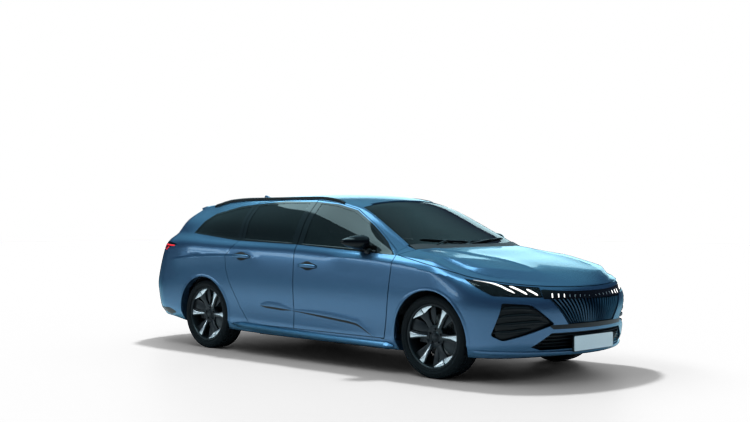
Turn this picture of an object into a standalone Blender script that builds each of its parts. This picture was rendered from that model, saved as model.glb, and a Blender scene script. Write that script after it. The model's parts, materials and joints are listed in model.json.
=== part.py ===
"""A compact five-door station wagon, built as its separate panels, glass, lamps, seats, running gear and wheels.

X runs forward, Y to the car's left and Z up, in metres. The origin is on the ground, midway between the bumpers.
The skin is a loft: nine feature lines run round the car as closed rings, and the bonnet, windscreen and roof close it.
Every panel is cut from that skin, so neighbours share one surface.
"""

import math

import bmesh
import bpy
from mathutils import Matrix, Vector

# Driving dimensions of the car
LENGTH = 4.636
WIDTH = 1.852
HEIGHT = 1.442
WHEELBASE = 2.732
FRONT_OVERHANG = 0.853
TRACK = 1.556

REAR_OVERHANG = LENGTH - WHEELBASE - FRONT_OVERHANG
FRONT_AXLE_X = LENGTH / 2 - FRONT_OVERHANG
REAR_AXLE_X = FRONT_AXLE_X - WHEELBASE
HALF_WIDTH = WIDTH / 2

# Walls and clearances
WALL = 0.070
FRONT_WALL = 0.030
FRAME_IN = 0.075
FRAME_WALL = 0.040
GLASS_RECESS = 0.005
GLASS_THICKNESS = 0.005
SHUT_GAP = 0.0055
SEAT_GAP = 0.0004
CUT_OVERRUN = 0.300
WELD = 0.00006

# Wheels: the tyre's radius is a share of the car's height
TYRE_RADIUS_SHARE = 0.2205
TYRE_WIDTH = 0.225
SIDEWALL = 0.072
RIM_WIDTH = 0.190
ARCH_GAP = 0.034
STEER_GAP = 0.080
LINER_GAP = 0.003
TYRE_SIDES = 32

TYRE_RADIUS = TYRE_RADIUS_SHARE * HEIGHT
RIM_RADIUS = TYRE_RADIUS - SIDEWALL
ARCH_RADIUS = TYRE_RADIUS + ARCH_GAP
STEER_RADIUS = TYRE_RADIUS + STEER_GAP
FRONT_LINER_RADIUS = STEER_RADIUS - LINER_GAP

# Each feature ring of the skin, from the floor up. Reaches and corners are along shares: 2 is the nose, 1 the front
# axle, 0 the rear axle and -1 the tail. Heights and widths are shares of HEIGHT and HALF_WIDTH at the stations below.
# Out and up shares say how far a ring moves in and down for each metre of wall.
STATION_SHARES = (2.0, 1.334, 0.874, 0.811, 0.617, 0.44, 0.13, -0.2, -0.55, -1.0)
RING_SHARES = (
    # front reach, rear reach, front corner, rear corner, out share, up share, height shares, width shares
    (1.862, -0.793, 1.299, -0.507, 0.3, -1.0,
     (0.139, 0.118, 0.118, 0.118, 0.118, 0.118, 0.118, 0.132, 0.166, 0.208),
     (0.756, 0.756, 0.756, 0.756, 0.756, 0.756, 0.756, 0.756, 0.756, 0.756)),
    (1.944, -0.907, 1.322, -0.564, 0.6, -1.0,
     (0.149, 0.132, 0.132, 0.132, 0.132, 0.132, 0.139, 0.153, 0.187, 0.212),
     (0.929, 0.929, 0.944, 0.945, 0.945, 0.945, 0.940, 0.929, 0.918, 0.907)),
    (1.973, -0.954, 1.334, -0.574, 1.0, -0.7,
     (0.208, 0.187, 0.184, 0.184, 0.184, 0.187, 0.194, 0.215, 0.250, 0.264),
     (0.972, 0.972, 0.977, 0.977, 0.977, 0.977, 0.977, 0.977, 0.972, 0.950)),
    (1.993, -0.983, 1.334, -0.574, 1.0, -0.25,
     (0.298, 0.291, 0.277, 0.277, 0.277, 0.284, 0.298, 0.319, 0.333, 0.340),
     (0.988, 0.991, 0.979, 0.977, 0.972, 0.972, 0.977, 0.994, 0.988, 0.972)),
    (2.0, -1.0, 1.334, -0.574, 1.0, 0.0,
     (0.388, 0.416, 0.430, 0.430, 0.430, 0.437, 0.444, 0.451, 0.444, 0.430),
     (0.994, 1.000, 0.992, 0.991, 0.988, 0.988, 0.994, 1.000, 0.988, 0.960)),
    (1.961, -0.875, 1.322, -0.530, 1.0, 0.3,
     (0.461, 0.517, 0.588, 0.596, 0.614, 0.628, 0.645, 0.659, 0.659, 0.638),
     (0.929, 0.967, 0.974, 0.974, 0.972, 0.972, 0.981, 0.985, 0.950, 0.890)),
    (1.941, -0.765, 1.311, -0.465, 0.95, 0.5,
     (0.485, 0.555, 0.639, 0.648, 0.669, 0.687, 0.704, 0.735, 0.742, 0.714),
     (0.864, 0.896, 0.930, 0.931, 0.931, 0.931, 0.923, 0.902, 0.835, 0.760)),
    (1.934, -0.664, 1.299, -0.405, 0.8, 0.55,
     (0.490, 0.562, 0.652, 0.690, 0.791, 0.836, 0.843, 0.832, 0.832, 0.832),
     (0.832, 0.864, 0.872, 0.868, 0.815, 0.815, 0.810, 0.797, 0.757, 0.715)),
    (1.92, -0.545, 1.275, -0.345, 0.5, 0.7,
     (0.498, 0.572, 0.668, 0.728, 0.905, 0.960, 0.960, 0.929, 0.905, 0.895),
     (0.799, 0.821, 0.775, 0.742, 0.637, 0.643, 0.637, 0.616, 0.589, 0.562)),
)
CREASED_RINGS = (1, 2, 6, 8)
ROWS_PER_BAND = (1, 1, 1, 2, 2, 1, 2, 2)
# The top's centre line: along share, height share
CENTRE_LINE_SHARES = (
    (1.920, 0.498), (1.891, 0.531), (1.768, 0.569), (1.510, 0.610), (1.158, 0.645), (0.918, 0.683), (0.811, 0.787),
    (0.720, 0.877), (0.639, 0.950), (0.537, 0.978), (0.354, 0.990), (0.134, 0.983), (-0.174, 0.954), (-0.545, 0.919),
)
# Where the cowl and the roof header lie, on the side rings and on the centre line
COWL_SHARES = (0.874, 0.918)
HEADER_SHARES = (0.617, 0.639)
CORNER_POWER = 2.15
END_COLUMNS = 5
ZONE_STEP_SHARES = ((0.07, 0.2, 0.42, 0.7, 1.0), (0.33, 0.66, 1.0), (0.17, 0.34, 0.51, 0.68, 0.84, 1.0))

# Side outlines: along share, height share
FRONT_DOOR_SHARES = (
    (0.830, 0.190), (0.846, 0.381), (0.857, 0.555), (0.862, 0.639), (0.846, 0.665), (0.801, 0.713), (0.716, 0.805),
    (0.625, 0.893), (0.544, 0.930), (0.4515, 0.948), (0.4515, 0.190),
)
REAR_DOOR_SHARES = (
    (0.4485, 0.190), (0.4485, 0.950), (0.299, 0.954), (0.167, 0.936), (0.165, 0.818), (0.175, 0.714), (0.120, 0.603),
    (0.123, 0.520), (0.138, 0.451), (0.189, 0.291), (0.237, 0.190),
)
FRONT_GLASS_SHARES = (
    (0.475, 0.692), (0.779, 0.664), (0.793, 0.707), (0.705, 0.801), (0.619, 0.879), (0.541, 0.914), (0.475, 0.929),
)
REAR_GLASS_SHARES = ((0.422, 0.697), (0.422, 0.933), (0.299, 0.934), (0.184, 0.919), (0.182, 0.818), (0.191, 0.716))
QUARTER_GLASS_SHARES = (
    (0.154, 0.714), (0.147, 0.818), (0.149, 0.914), (0.087, 0.902), (-0.060, 0.856), (-0.155, 0.808), (-0.212, 0.752),
)
FRONT_OPENING_SHARES = (
    (0.808, 0.250), (0.826, 0.430), (0.833, 0.596), (0.815, 0.645), (0.691, 0.791), (0.617, 0.860), (0.537, 0.895),
    (0.486, 0.902), (0.486, 0.250),
)
REAR_OPENING_SHARES = (
    (0.423, 0.250), (0.423, 0.902), (0.299, 0.912), (0.193, 0.898), (0.193, 0.714), (0.156, 0.596), (0.156, 0.485),
    (0.222, 0.291), (0.244, 0.250),
)
BONNET_LINE_SHARES = ((0.793, 0.662), (0.866, 0.645), (1.006, 0.595), (1.346, 0.548), (1.510, 0.531), (1.960, 0.488))
HEADLAMP_SHARES = ((1.363, 0.533), (1.510, 0.523), (1.970, 0.479), (1.970, 0.437), (1.627, 0.450))
TAIL_LAMP_SHARES = ((-0.412, 0.667), (-0.555, 0.683), (-1.05, 0.683), (-1.05, 0.614), (-0.650, 0.628))
HEADLAMP_INNER_SHARE = 0.56
BUMPER_REAR_SHARES = ((-0.36, 0.36), (-0.66, 0.414))

# Front and rear outlines, right half: across share, height share
GRILLE_SHARES = ((0.0, 0.458), (0.545, 0.458), (0.324, 0.300), (0.0, 0.300))
SIDE_INTAKE_SHARES = ((0.864, 0.416), (0.670, 0.406), (0.464, 0.305), (0.594, 0.277), (0.842, 0.222), (0.907, 0.250))
LOWER_INTAKE_SHARES = ((0.0, 0.260), (0.486, 0.260), (0.648, 0.191), (0.562, 0.173), (0.0, 0.173))
TAILGATE_SHARES = (
    (0.0, 1.1), (0.529, 1.1), (0.540, 0.902), (0.635, 0.735), (0.630, 0.624), (0.572, 0.416), (0.0, 0.416),
)
TAILGATE_GLASS_SHARES = ((0.0, 0.891), (0.455, 0.891), (0.572, 0.745), (0.0, 0.745))

# Plan outlines, right half: along share, across share
WINDSCREEN_SHARES = (
    (0.905, 0.0), (0.903, 0.24), (0.890, 0.48), (0.858, 0.735), (0.632, 0.608), (0.648, 0.29), (0.652, 0.0),
)
ROOF_SHARES = ((0.640, 0.0), (0.636, 0.29), (0.620, 0.590), (-0.3025, 0.575), (-0.3025, 0.0))
BONNET_REAR_SHARES = ((0.935, 0.0), (0.932, 0.24), (0.918, 0.48), (0.886, 0.745), (0.860, 1.02))
TAILGATE_TOP_SHARE = -0.3025


def along(share):
    """The x of a share along the car: 2 is the nose, 1 the front axle, 0 the rear axle and -1 the tail."""
    if share > 1:
        return FRONT_AXLE_X + (share - 1) * FRONT_OVERHANG
    if share < 0:
        return REAR_AXLE_X + share * REAR_OVERHANG
    return REAR_AXLE_X + share * WHEELBASE


def share_at(x):
    """The share along the car of a place x."""
    if x > FRONT_AXLE_X:
        return 1 + (x - FRONT_AXLE_X) / FRONT_OVERHANG
    if x < REAR_AXLE_X:
        return (x - REAR_AXLE_X) / REAR_OVERHANG
    return (x - REAR_AXLE_X) / WHEELBASE


def up(share):
    return share * HEIGHT


def across(share):
    return share * HALF_WIDTH


def smooth(places, values, place):
    """A smooth curve through the values that never swings past them."""
    pairs = sorted(zip(places, values))
    p = [pair[0] for pair in pairs]
    v = [pair[1] for pair in pairs]
    if place <= p[0]:
        return v[0]
    if place >= p[-1]:
        return v[-1]
    slopes = [(v[k + 1] - v[k]) / (p[k + 1] - p[k]) for k in range(len(p) - 1)]
    tangents = [slopes[0]]
    for a, b in zip(slopes, slopes[1:]):
        tangents.append(2 * a * b / (a + b) if a * b > 0 else 0.0)
    tangents.append(slopes[-1])
    k = max(i for i in range(len(p) - 1) if p[i] <= place)
    span = p[k + 1] - p[k]
    t = (place - p[k]) / span
    return (
        v[k] * (1 + 2 * t) * (1 - t) ** 2
        + tangents[k] * span * t * (1 - t) ** 2
        + v[k + 1] * t * t * (3 - 2 * t)
        + tangents[k + 1] * span * t * t * (t - 1)
    )


# The loft


def side_places(front, rear, knots):
    """The x of each side column, from the front corner to the rear one, with the cowl and the header on columns."""
    ends = (front, along(knots[0]), along(knots[1]), rear)
    places = [front]
    for steps, start, stop in zip(ZONE_STEP_SHARES, ends, ends[1:]):
        places += [start + (stop - start) * step for step in steps]
    return places


def end_shares():
    """How far out and how far back each end column lies: the quarter of a rounded corner."""
    angles = [math.pi / 2 * k / END_COLUMNS for k in range(END_COLUMNS + 1)]
    return [(math.sin(a) ** (2 / CORNER_POWER), max(math.cos(a), 0) ** (2 / CORNER_POWER)) for a in angles]


def ring_points(ring, inset):
    """The half ring's points from the nose, round the left side, to the tail."""
    front_reach, rear_reach, front_corner, rear_corner, out, rise, heights, widths = ring
    front, rear = along(front_corner), along(rear_corner)
    columns = []
    for wide, reach in end_shares():
        columns.append((front + (along(front_reach) - front) * reach, front + (along(front_reach) - inset - front) * reach, wide))
    columns += [(x, x, 1.0) for x in side_places(front, rear, (COWL_SHARES[0], HEADER_SHARES[0]))[1:-1]]
    for wide, reach in reversed(end_shares()):
        columns.append((rear + (along(rear_reach) - rear) * reach, rear + (along(rear_reach) + inset - rear) * reach, wide))
    points = []
    for x_outer, x, wide in columns:
        share = share_at(x_outer)
        corner_share = min(max(share, rear_corner), front_corner)
        half = across(smooth(STATION_SHARES, widths, corner_share)) - inset * out
        height = up(smooth(STATION_SHARES, heights, share)) - inset * rise
        points.append(Vector((x, half * wide, height)))
    return points


def band_rows(inset):
    """Every row of the side band, with rows between the rings on a smooth curve that breaks at the creases."""
    rings = [ring_points(ring, inset) for ring in RING_SHARES]
    rows = []
    for k, count in enumerate(ROWS_PER_BAND):
        for step in range(count):
            t = step / count
            row = []
            for c, (a, b) in enumerate(zip(rings[k], rings[k + 1])):
                start = b - a if k in CREASED_RINGS or k == 0 else (b - rings[k - 1][c]) / 2
                last = k + 1 in CREASED_RINGS or k + 2 == len(rings)
                stop = b - a if last else (rings[k + 2][c] - a) / 2
                row.append(
                    a * ((1 + 2 * t) * (1 - t) ** 2)
                    + start * (t * (1 - t) ** 2)
                    + b * (t * t * (3 - 2 * t))
                    + stop * (t * t * (t - 1))
                )
            rows.append(row)
    rows.append(rings[-1])
    return rows


def top_grid(edge, inset):
    """The top's points, a row for each side column and a column for each end column, inside the top ring."""
    reach = along(RING_SHARES[-1][0]) - inset, along(RING_SHARES[-1][1]) + inset
    centres = side_places(*reach, (COWL_SHARES[1], HEADER_SHARES[1]))
    shares = end_shares()
    side = edge[END_COLUMNS : len(edge) - END_COLUMNS]
    rows = [edge[: END_COLUMNS + 1]]
    for x, corner in list(zip(centres, side))[1:-1]:
        height = up(smooth(*zip(*CENTRE_LINE_SHARES), share_at(x))) - inset
        row = []
        for wide, back in shares[:-1]:
            row.append(
                Vector((corner.x + (x - corner.x) * back, corner.y * wide, height + (corner.z - height) * wide**2.2))
            )
        rows.append(row + [corner])
    rows.append(edge[: -END_COLUMNS - 2 : -1])
    return rows


def body_solid(inset, name):
    """The whole skin as one closed solid, moved inwards by inset."""
    bm = bmesh.new()
    rows = band_rows(inset)
    left = [[bm.verts.new(p) for p in row] for row in rows]
    right = [[row[0]] + [bm.verts.new((v.co.x, -v.co.y, v.co.z)) for v in row[1:-1]] + [row[-1]] for row in left]
    for half in (left, right):
        for low, high in zip(half, half[1:]):
            for k in range(len(low) - 1):
                bm.faces.new((low[k], low[k + 1], high[k + 1], high[k]))
    floor = list(zip(left[0], right[0]))
    for (a, b), (c, d) in zip(floor, floor[1:]):
        bm.faces.new([v for n, v in enumerate((a, b, d, c)) if v not in (a, b, d, c)[:n]])
    points = top_grid(rows[-1], inset)
    for half, sign in ((left, 1), (right, -1)):
        top = half[-1]
        grid = [top[: END_COLUMNS + 1]]
        if sign > 0:
            inner = [[bm.verts.new(p) for p in row[:-1]] for row in points[1:-1]]
        else:
            inner = [[mid[0]] + [bm.verts.new((v.co.x, -v.co.y, v.co.z)) for v in mid[1:]] for mid in inner]
        grid += [row + [top[END_COLUMNS + k + 1]] for k, row in enumerate(inner)]
        grid.append(top[: -END_COLUMNS - 2 : -1])
        for near, far in zip(grid, grid[1:]):
            for k in range(END_COLUMNS):
                bm.faces.new((near[k], near[k + 1], far[k + 1], far[k]))
    bmesh.ops.recalc_face_normals(bm, faces=bm.faces)
    bmesh.ops.triangulate(bm, faces=bm.faces)
    return object_of(bm, name)


# Making and cutting solids


def object_of(bm, name):
    mesh = bpy.data.meshes.new(name)
    bm.to_mesh(mesh)
    bm.free()
    thing = bpy.data.objects.new(name, mesh)
    bpy.context.scene.collection.objects.link(thing)
    return thing


def prism(outline, lowest, highest, axis, name="cutter"):
    """A solid with this outline in the plane across axis. Outlines are (x, z) for Y, (x, y) for Z and (y, z) for X."""
    bm = bmesh.new()
    place = {
        "Y": lambda a, b, c: (a, c, b),
        "Z": lambda a, b, c: (a, b, c),
        "X": lambda a, b, c: (c, a, b),
    }[axis]
    face = bm.faces.new([bm.verts.new(place(a, b, lowest)) for a, b in outline])
    grown = bmesh.ops.extrude_face_region(bm, geom=[face])["geom"]
    moved = [v for v in grown if isinstance(v, bmesh.types.BMVert)]
    bmesh.ops.translate(bm, verts=moved, vec=Vector(place(0, 0, highest - lowest)))
    bmesh.ops.recalc_face_normals(bm, faces=bm.faces)
    return object_of(bm, name)


def side_outline(shares):
    return [(along(a), up(b)) for a, b in shares]


def front_outline(shares):
    """A whole outline across the car from its left half, whose ends lie on the centre line."""
    half = [(across(a), up(b)) for a, b in shares]
    return half + [(-y, z) for y, z in reversed(half) if y > 0]


def plan_outline(shares):
    half = [(along(a), across(b)) for a, b in shares]
    return half + [(x, -y) for x, y in reversed(half) if y > 0]


def grown(outline, by):
    """The outline moved out by a distance along its edges."""
    area = sum(a[0] * b[1] - b[0] * a[1] for a, b in zip(outline, outline[1:] + outline[:1]))
    sense = 1 if area > 0 else -1
    out = []
    for k, point in enumerate(outline):
        before, after = Vector(outline[k - 1]), Vector(outline[(k + 1) % len(outline)])
        here = Vector(point)
        one, two = (here - before).normalized(), (after - here).normalized()
        n1 = Vector((one.y, -one.x)) * sense
        n2 = Vector((two.y, -two.x)) * sense
        out.append(tuple(here + (n1 + n2) * (by / (1 + n1.dot(n2)))))
    return out


def boolean(thing, other, operation, keep=False):
    """Applies one Boolean to thing, and removes the other solid unless it is kept."""
    modifier = thing.modifiers.new(operation.lower(), "BOOLEAN")
    modifier.object = other
    modifier.operation = operation
    modifier.solver = "EXACT"
    evaluated = thing.evaluated_get(bpy.context.evaluated_depsgraph_get())
    mesh = bpy.data.meshes.new_from_object(evaluated)
    thing.modifiers.clear()
    old = thing.data
    thing.data = mesh
    bpy.data.meshes.remove(old)
    if not keep:
        bpy.data.objects.remove(other)
    return thing


def cut(thing, other, keep=False):
    return boolean(thing, other, "DIFFERENCE", keep)


def common(thing, other, keep=False):
    return boolean(thing, other, "INTERSECT", keep)


def join(thing, other, keep=False):
    return boolean(thing, other, "UNION", keep)


def copy_of(thing, name):
    other = thing.copy()
    other.data = thing.data.copy()
    other.name = name
    bpy.context.scene.collection.objects.link(other)
    return other


def block(low, high, name="block", bevel=0.0):
    """A box between two corners, with rounded edges where a bevel is given."""
    bm = bmesh.new()
    bmesh.ops.create_cube(bm, size=1)
    low, high = Vector(low), Vector(high)
    bmesh.ops.scale(bm, vec=high - low, verts=bm.verts)
    bmesh.ops.translate(bm, vec=(low + high) / 2, verts=bm.verts)
    if bevel:
        bmesh.ops.bevel(bm, geom=bm.edges, offset=bevel, affect="EDGES", segments=2, profile=0.5, material=-1)
    return object_of(bm, name)


def drum(centre, axis, radius, length, name="drum", sides=24, radius_end=None):
    """A cylinder, or a cone where radius_end is given, centred on a point along an axis."""
    bm = bmesh.new()
    bmesh.ops.create_cone(
        bm, cap_ends=True, segments=sides, radius1=radius, radius2=radius if radius_end is None else radius_end, depth=length
    )
    turn = Vector((0, 0, 1)).rotation_difference(Vector(axis)).to_matrix()
    bmesh.ops.rotate(bm, matrix=turn, verts=bm.verts)
    bmesh.ops.translate(bm, vec=centre, verts=bm.verts)
    return object_of(bm, name)


def turned(profile, centre, name, sides, turn=0.0):
    """A ring turned about the wheel axis, from a closed profile of (radius, across) points."""
    bm = bmesh.new()
    verts = [bm.verts.new((0, offset, radius)) for radius, offset in profile]
    edges = [bm.edges.new((a, b)) for a, b in zip(verts, verts[1:] + verts[:1])]
    bmesh.ops.rotate(bm, matrix=Matrix.Rotation(turn, 3, "Y"), verts=bm.verts)
    bmesh.ops.spin(bm, geom=verts + edges, axis=(0, 1, 0), cent=(0, 0, 0), angle=2 * math.pi, steps=sides, use_merge=True)
    bmesh.ops.remove_doubles(bm, verts=bm.verts, dist=SEAT_GAP / 4)
    bmesh.ops.recalc_face_normals(bm, faces=bm.faces)
    bmesh.ops.translate(bm, vec=centre, verts=bm.verts)
    return object_of(bm, name)


def mirrored(thing, name):
    """The same piece on the other side of the car."""
    other = copy_of(thing, name)
    bm = bmesh.new()
    bm.from_mesh(other.data)
    bmesh.ops.scale(bm, vec=(1, -1, 1), verts=bm.verts)
    bmesh.ops.reverse_faces(bm, faces=bm.faces)
    bm.to_mesh(other.data)
    bm.free()
    return other


def removed(*things):
    for thing in things:
        bpy.data.objects.remove(thing)


# Materials: colour, roughness, metallic
FINISHES = {
    "paint": ((0.09, 0.24, 0.40), 0.25, 0.6),
    "black_trim": ((0.012, 0.012, 0.014), 0.25, 0.0),
    "dark_plastic": ((0.03, 0.03, 0.033), 0.6, 0.0),
    "glass": ((0.02, 0.022, 0.025), 0.05, 0.0),
    "lamp_clear": ((0.6, 0.62, 0.65), 0.1, 0.0),
    "lamp_red": ((0.45, 0.01, 0.02), 0.15, 0.0),
    "tyre": ((0.02, 0.02, 0.02), 0.85, 0.0),
    "rim": ((0.25, 0.25, 0.26), 0.35, 0.9),
    "steel": ((0.2, 0.2, 0.21), 0.5, 0.9),
    "seat": ((0.04, 0.04, 0.045), 0.85, 0.0),
}


def finish(thing, slot):
    """Welds what the cuts left closer than WELD, and gives the piece its material."""
    bm = bmesh.new()
    bm.from_mesh(thing.data)
    bmesh.ops.triangulate(bm, faces=bm.faces)
    bmesh.ops.remove_doubles(bm, verts=bm.verts, dist=WELD)
    bmesh.ops.dissolve_degenerate(bm, edges=bm.edges, dist=WELD)
    bm.to_mesh(thing.data)
    bm.free()
    colour, roughness, metallic = FINISHES[slot]
    material = bpy.data.materials.get(slot)
    if material is None:
        material = bpy.data.materials.new(slot)
        material.use_nodes = True
        shader = material.node_tree.nodes["Principled BSDF"]
        shader.inputs["Base Color"].default_value = (*colour, 1)
        shader.inputs["Roughness"].default_value = roughness
        shader.inputs["Metallic"].default_value = metallic
    thing.data.materials.clear()
    thing.data.materials.append(material)
    return thing


def settle(thing, origin):
    """Puts a moving piece's origin on its joint."""
    origin = Vector(origin)
    thing.data.transform(Matrix.Translation(-origin))
    thing.location = origin
    return thing


# Joint places, and the sizes of what sits inside the skin
DOOR_AXIS_OUT = 0.006
KINGPIN_IN = 0.078
HUB_IN = 0.026
STEERING_RAKE = math.radians(25)

KINGPIN_Y = TRACK / 2 - KINGPIN_IN
HUB_FACE_Y = TRACK / 2 - HUB_IN
FRONT_DOOR_AXIS = (along(0.865), HALF_WIDTH + DOOR_AXIS_OUT)
REAR_DOOR_AXIS = (along(0.4495), HALF_WIDTH + DOOR_AXIS_OUT)
BONNET_AXIS = (along(0.795), up(0.672))
TAILGATE_AXIS = (along(TAILGATE_TOP_SHARE) + SHUT_GAP / 2, up(0.953))
STEERING_WHEEL_CENTRE = (along(0.642), across(0.40), up(0.625))

REACH = HALF_WIDTH + CUT_OVERRUN
TALL = HEIGHT + CUT_OVERRUN
FAR_FRONT = LENGTH / 2 + CUT_OVERRUN
FAR_REAR = -FAR_FRONT
# Inner edges of the cuts, across shares
ROOF_EDGE_SHARE = 0.62
MIDDLE_SHARE = 0.5
SILL_INNER_SHARE = 0.80
ARCH_CUT_SHARE = 0.43
ARCH_LIP_SHARE = 0.865
SILL_TOP_SHARE = 0.184
# Heights that plan cuts start from
BELT_SHARE = 0.5
CANT_SHARE = 0.8
INNER_FRAME_SHARE = 0.134
DOOR_FRONT_SHARE = 0.8535
GATE_REACH_SHARE = -0.31
ARCH_SIDES = 32


def layer(outer, inner, name):
    """The hollow skin between two depths."""
    return cut(body_solid(outer, name), body_solid(inner, "core"))


def region(points, axis="Y", low=-REACH, high=REACH):
    return prism(points, low, high, axis)


def bonnet_region(by):
    """What lies above the bonnet's shut line and ahead of its rear edge, moved out by a distance."""
    line = side_outline(BONNET_LINE_SHARES)
    above = grown(line + [(FAR_FRONT, line[-1][1]), (FAR_FRONT, TALL), (line[0][0], TALL)], by)
    half = [(along(a), across(b)) for a, b in BONNET_REAR_SHARES]
    rear = half[::-1] + [(x, -y) for x, y in half if y > 0] + [(FAR_FRONT, -half[-1][1]), (FAR_FRONT, half[-1][1])]
    return common(region(above), prism(grown(rear, by), 0, TALL, "Z"))


def headlamp_region(by):
    outline = grown(side_outline(HEADLAMP_SHARES), by)
    return prism(outline, across(HEADLAMP_INNER_SHARE) - by, REACH, "Y")


def wheel_hollow(axle_x, sign, radius, inner, outer):
    """A round space about a wheel, between two places across the car."""
    middle = sign * (inner + outer) / 2
    return drum((axle_x, middle, TYRE_RADIUS), (0, 1, 0), radius, outer - inner, sides=ARCH_SIDES)


def cut_arches(thing, axle_x, sides=(1,)):
    """The wheel arch: its lip's radius all through, and at the front room inboard of the lip for the steered tyre."""
    for sign in sides:
        cut(thing, wheel_hollow(axle_x, sign, ARCH_RADIUS, across(ARCH_CUT_SHARE), REACH))
        if axle_x == FRONT_AXLE_X:
            cut(thing, wheel_hollow(axle_x, sign, STEER_RADIUS, across(ARCH_CUT_SHARE), across(ARCH_LIP_SHARE)))
    return thing


# The doors' depth: a full outline only near the skin, so that they clear their neighbours on opening
DOOR_HEM = 0.012
DOOR_SETBACK = 0.016
WINDOW_FRAME_WALL = 0.028
# Above this line a door is only as deep as its window frame: along share, height share
WINDOW_FRAME_SHARES = (
    (0.91, 0.575), (0.86, 0.590), (0.79, 0.640), (0.44, 0.676), (0.10, 0.690), (0.10, 1.05), (0.91, 1.05),
)


def build_doors():
    """Four doors with their windows cut, and the panes in them."""
    skin = layer(0, WALL, "door_skin")
    panes = layer(GLASS_RECESS, GLASS_RECESS + GLASS_THICKNESS, "panes")
    cut(skin, common(layer(WINDOW_FRAME_WALL, WALL + FRAME_WALL, "upper"), region(side_outline(WINDOW_FRAME_SHARES))))
    inner_edge = across(ROOF_EDGE_SHARE)
    table = (
        ("front", FRONT_DOOR_SHARES, FRONT_GLASS_SHARES, FRONT_DOOR_AXIS),
        ("rear", REAR_DOOR_SHARES, REAR_GLASS_SHARES, REAR_DOOR_AXIS),
    )
    for place, door_shares, glass_shares, axis in table:
        pane = side_outline(glass_shares)
        door = copy_of(skin, place + "_door_left")
        common(door, prism(side_outline(door_shares), inner_edge, REACH, "Y"))
        hidden = layer(DOOR_HEM, WALL + FRAME_WALL, "hidden")
        cut(hidden, prism([(x + DOOR_SETBACK, z) for x, z in side_outline(door_shares)], 0, REACH, "Y"))
        cut(door, hidden)
        cut(door, prism(pane, 0, REACH, "Y"))
        glass = copy_of(panes, place + "_door_glass_left")
        common(glass, prism(grown(pane, -SEAT_GAP), inner_edge, REACH, "Y"))
        for thing, slot in ((door, "paint"), (glass, "glass")):
            finish(thing, slot)
            other = mirrored(thing, thing.name.replace("left", "right"))
            settle(thing, (*axis, 0))
            settle(other, (axis[0], -axis[1], 0))
    quarter = common(
        copy_of(panes, "quarter_glass_left"),
        prism(grown(side_outline(QUARTER_GLASS_SHARES), -SEAT_GAP), inner_edge, REACH, "Y"),
    )
    finish(quarter, "glass")
    mirrored(quarter, "quarter_glass_right")
    screen = common(
        copy_of(panes, "windscreen"),
        prism(grown(plan_outline(WINDSCREEN_SHARES), -SEAT_GAP), up(BELT_SHARE), TALL, "Z"),
    )
    finish(screen, "glass")
    outline = grown(front_outline(TAILGATE_GLASS_SHARES), -SEAT_GAP)
    rear = common(panes, prism(outline, FAR_REAR, along(GATE_REACH_SHARE), "X"))
    rear.name = "tailgate_glass"
    finish(rear, "glass")
    settle(rear, (TAILGATE_AXIS[0], 0, TAILGATE_AXIS[1]))
    removed(skin)


# Hinge pads close the gap behind each door: along share, height share of the middle
HINGE_PAD_SHARES = ((0.838, 0.34), (0.838, 0.53), (0.436, 0.34), (0.436, 0.53))
HINGE_PAD_HALF_LENGTH = 0.016
HINGE_PAD_HALF_HEIGHT = 0.045
# What the doors' recess takes ahead of the front door, and what the wing takes
WING_RECESS_SHARES = ((0.82, 0.184), (1.3, 0.184), (1.3, 0.659), (0.82, 0.659))


def door_recess():
    """What the doors and their gaps take out of the side frame, less the hinge pads."""
    recess = layer(-WALL, FRAME_IN, "recess")
    inner_edge = across(ROOF_EDGE_SHARE) - SHUT_GAP
    doors = prism(grown(side_outline(FRONT_DOOR_SHARES), SHUT_GAP), inner_edge, REACH, "Y")
    join(doors, prism(grown(side_outline(REAR_DOOR_SHARES), SHUT_GAP), inner_edge, REACH, "Y"))
    join(doors, prism(side_outline(WING_RECESS_SHARES), inner_edge - SHUT_GAP, REACH, "Y"))
    common(recess, doors)
    for s, h in HINGE_PAD_SHARES:
        pad = layer(WALL + SEAT_GAP, FRAME_IN + FRAME_WALL, "pad")
        low = (along(s) - HINGE_PAD_HALF_LENGTH, 0, up(h) - HINGE_PAD_HALF_HEIGHT)
        high = (along(s) + HINGE_PAD_HALF_LENGTH, REACH, up(h) + HINGE_PAD_HALF_HEIGHT)
        common(pad, block(low, high))
        cut(recess, pad)
    return recess


FRAME_FRONT_SHARE = 1.2
FRAME_FAR_SHARE = 1.3
SILL_TRIM_SHARE = 0.22


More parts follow.
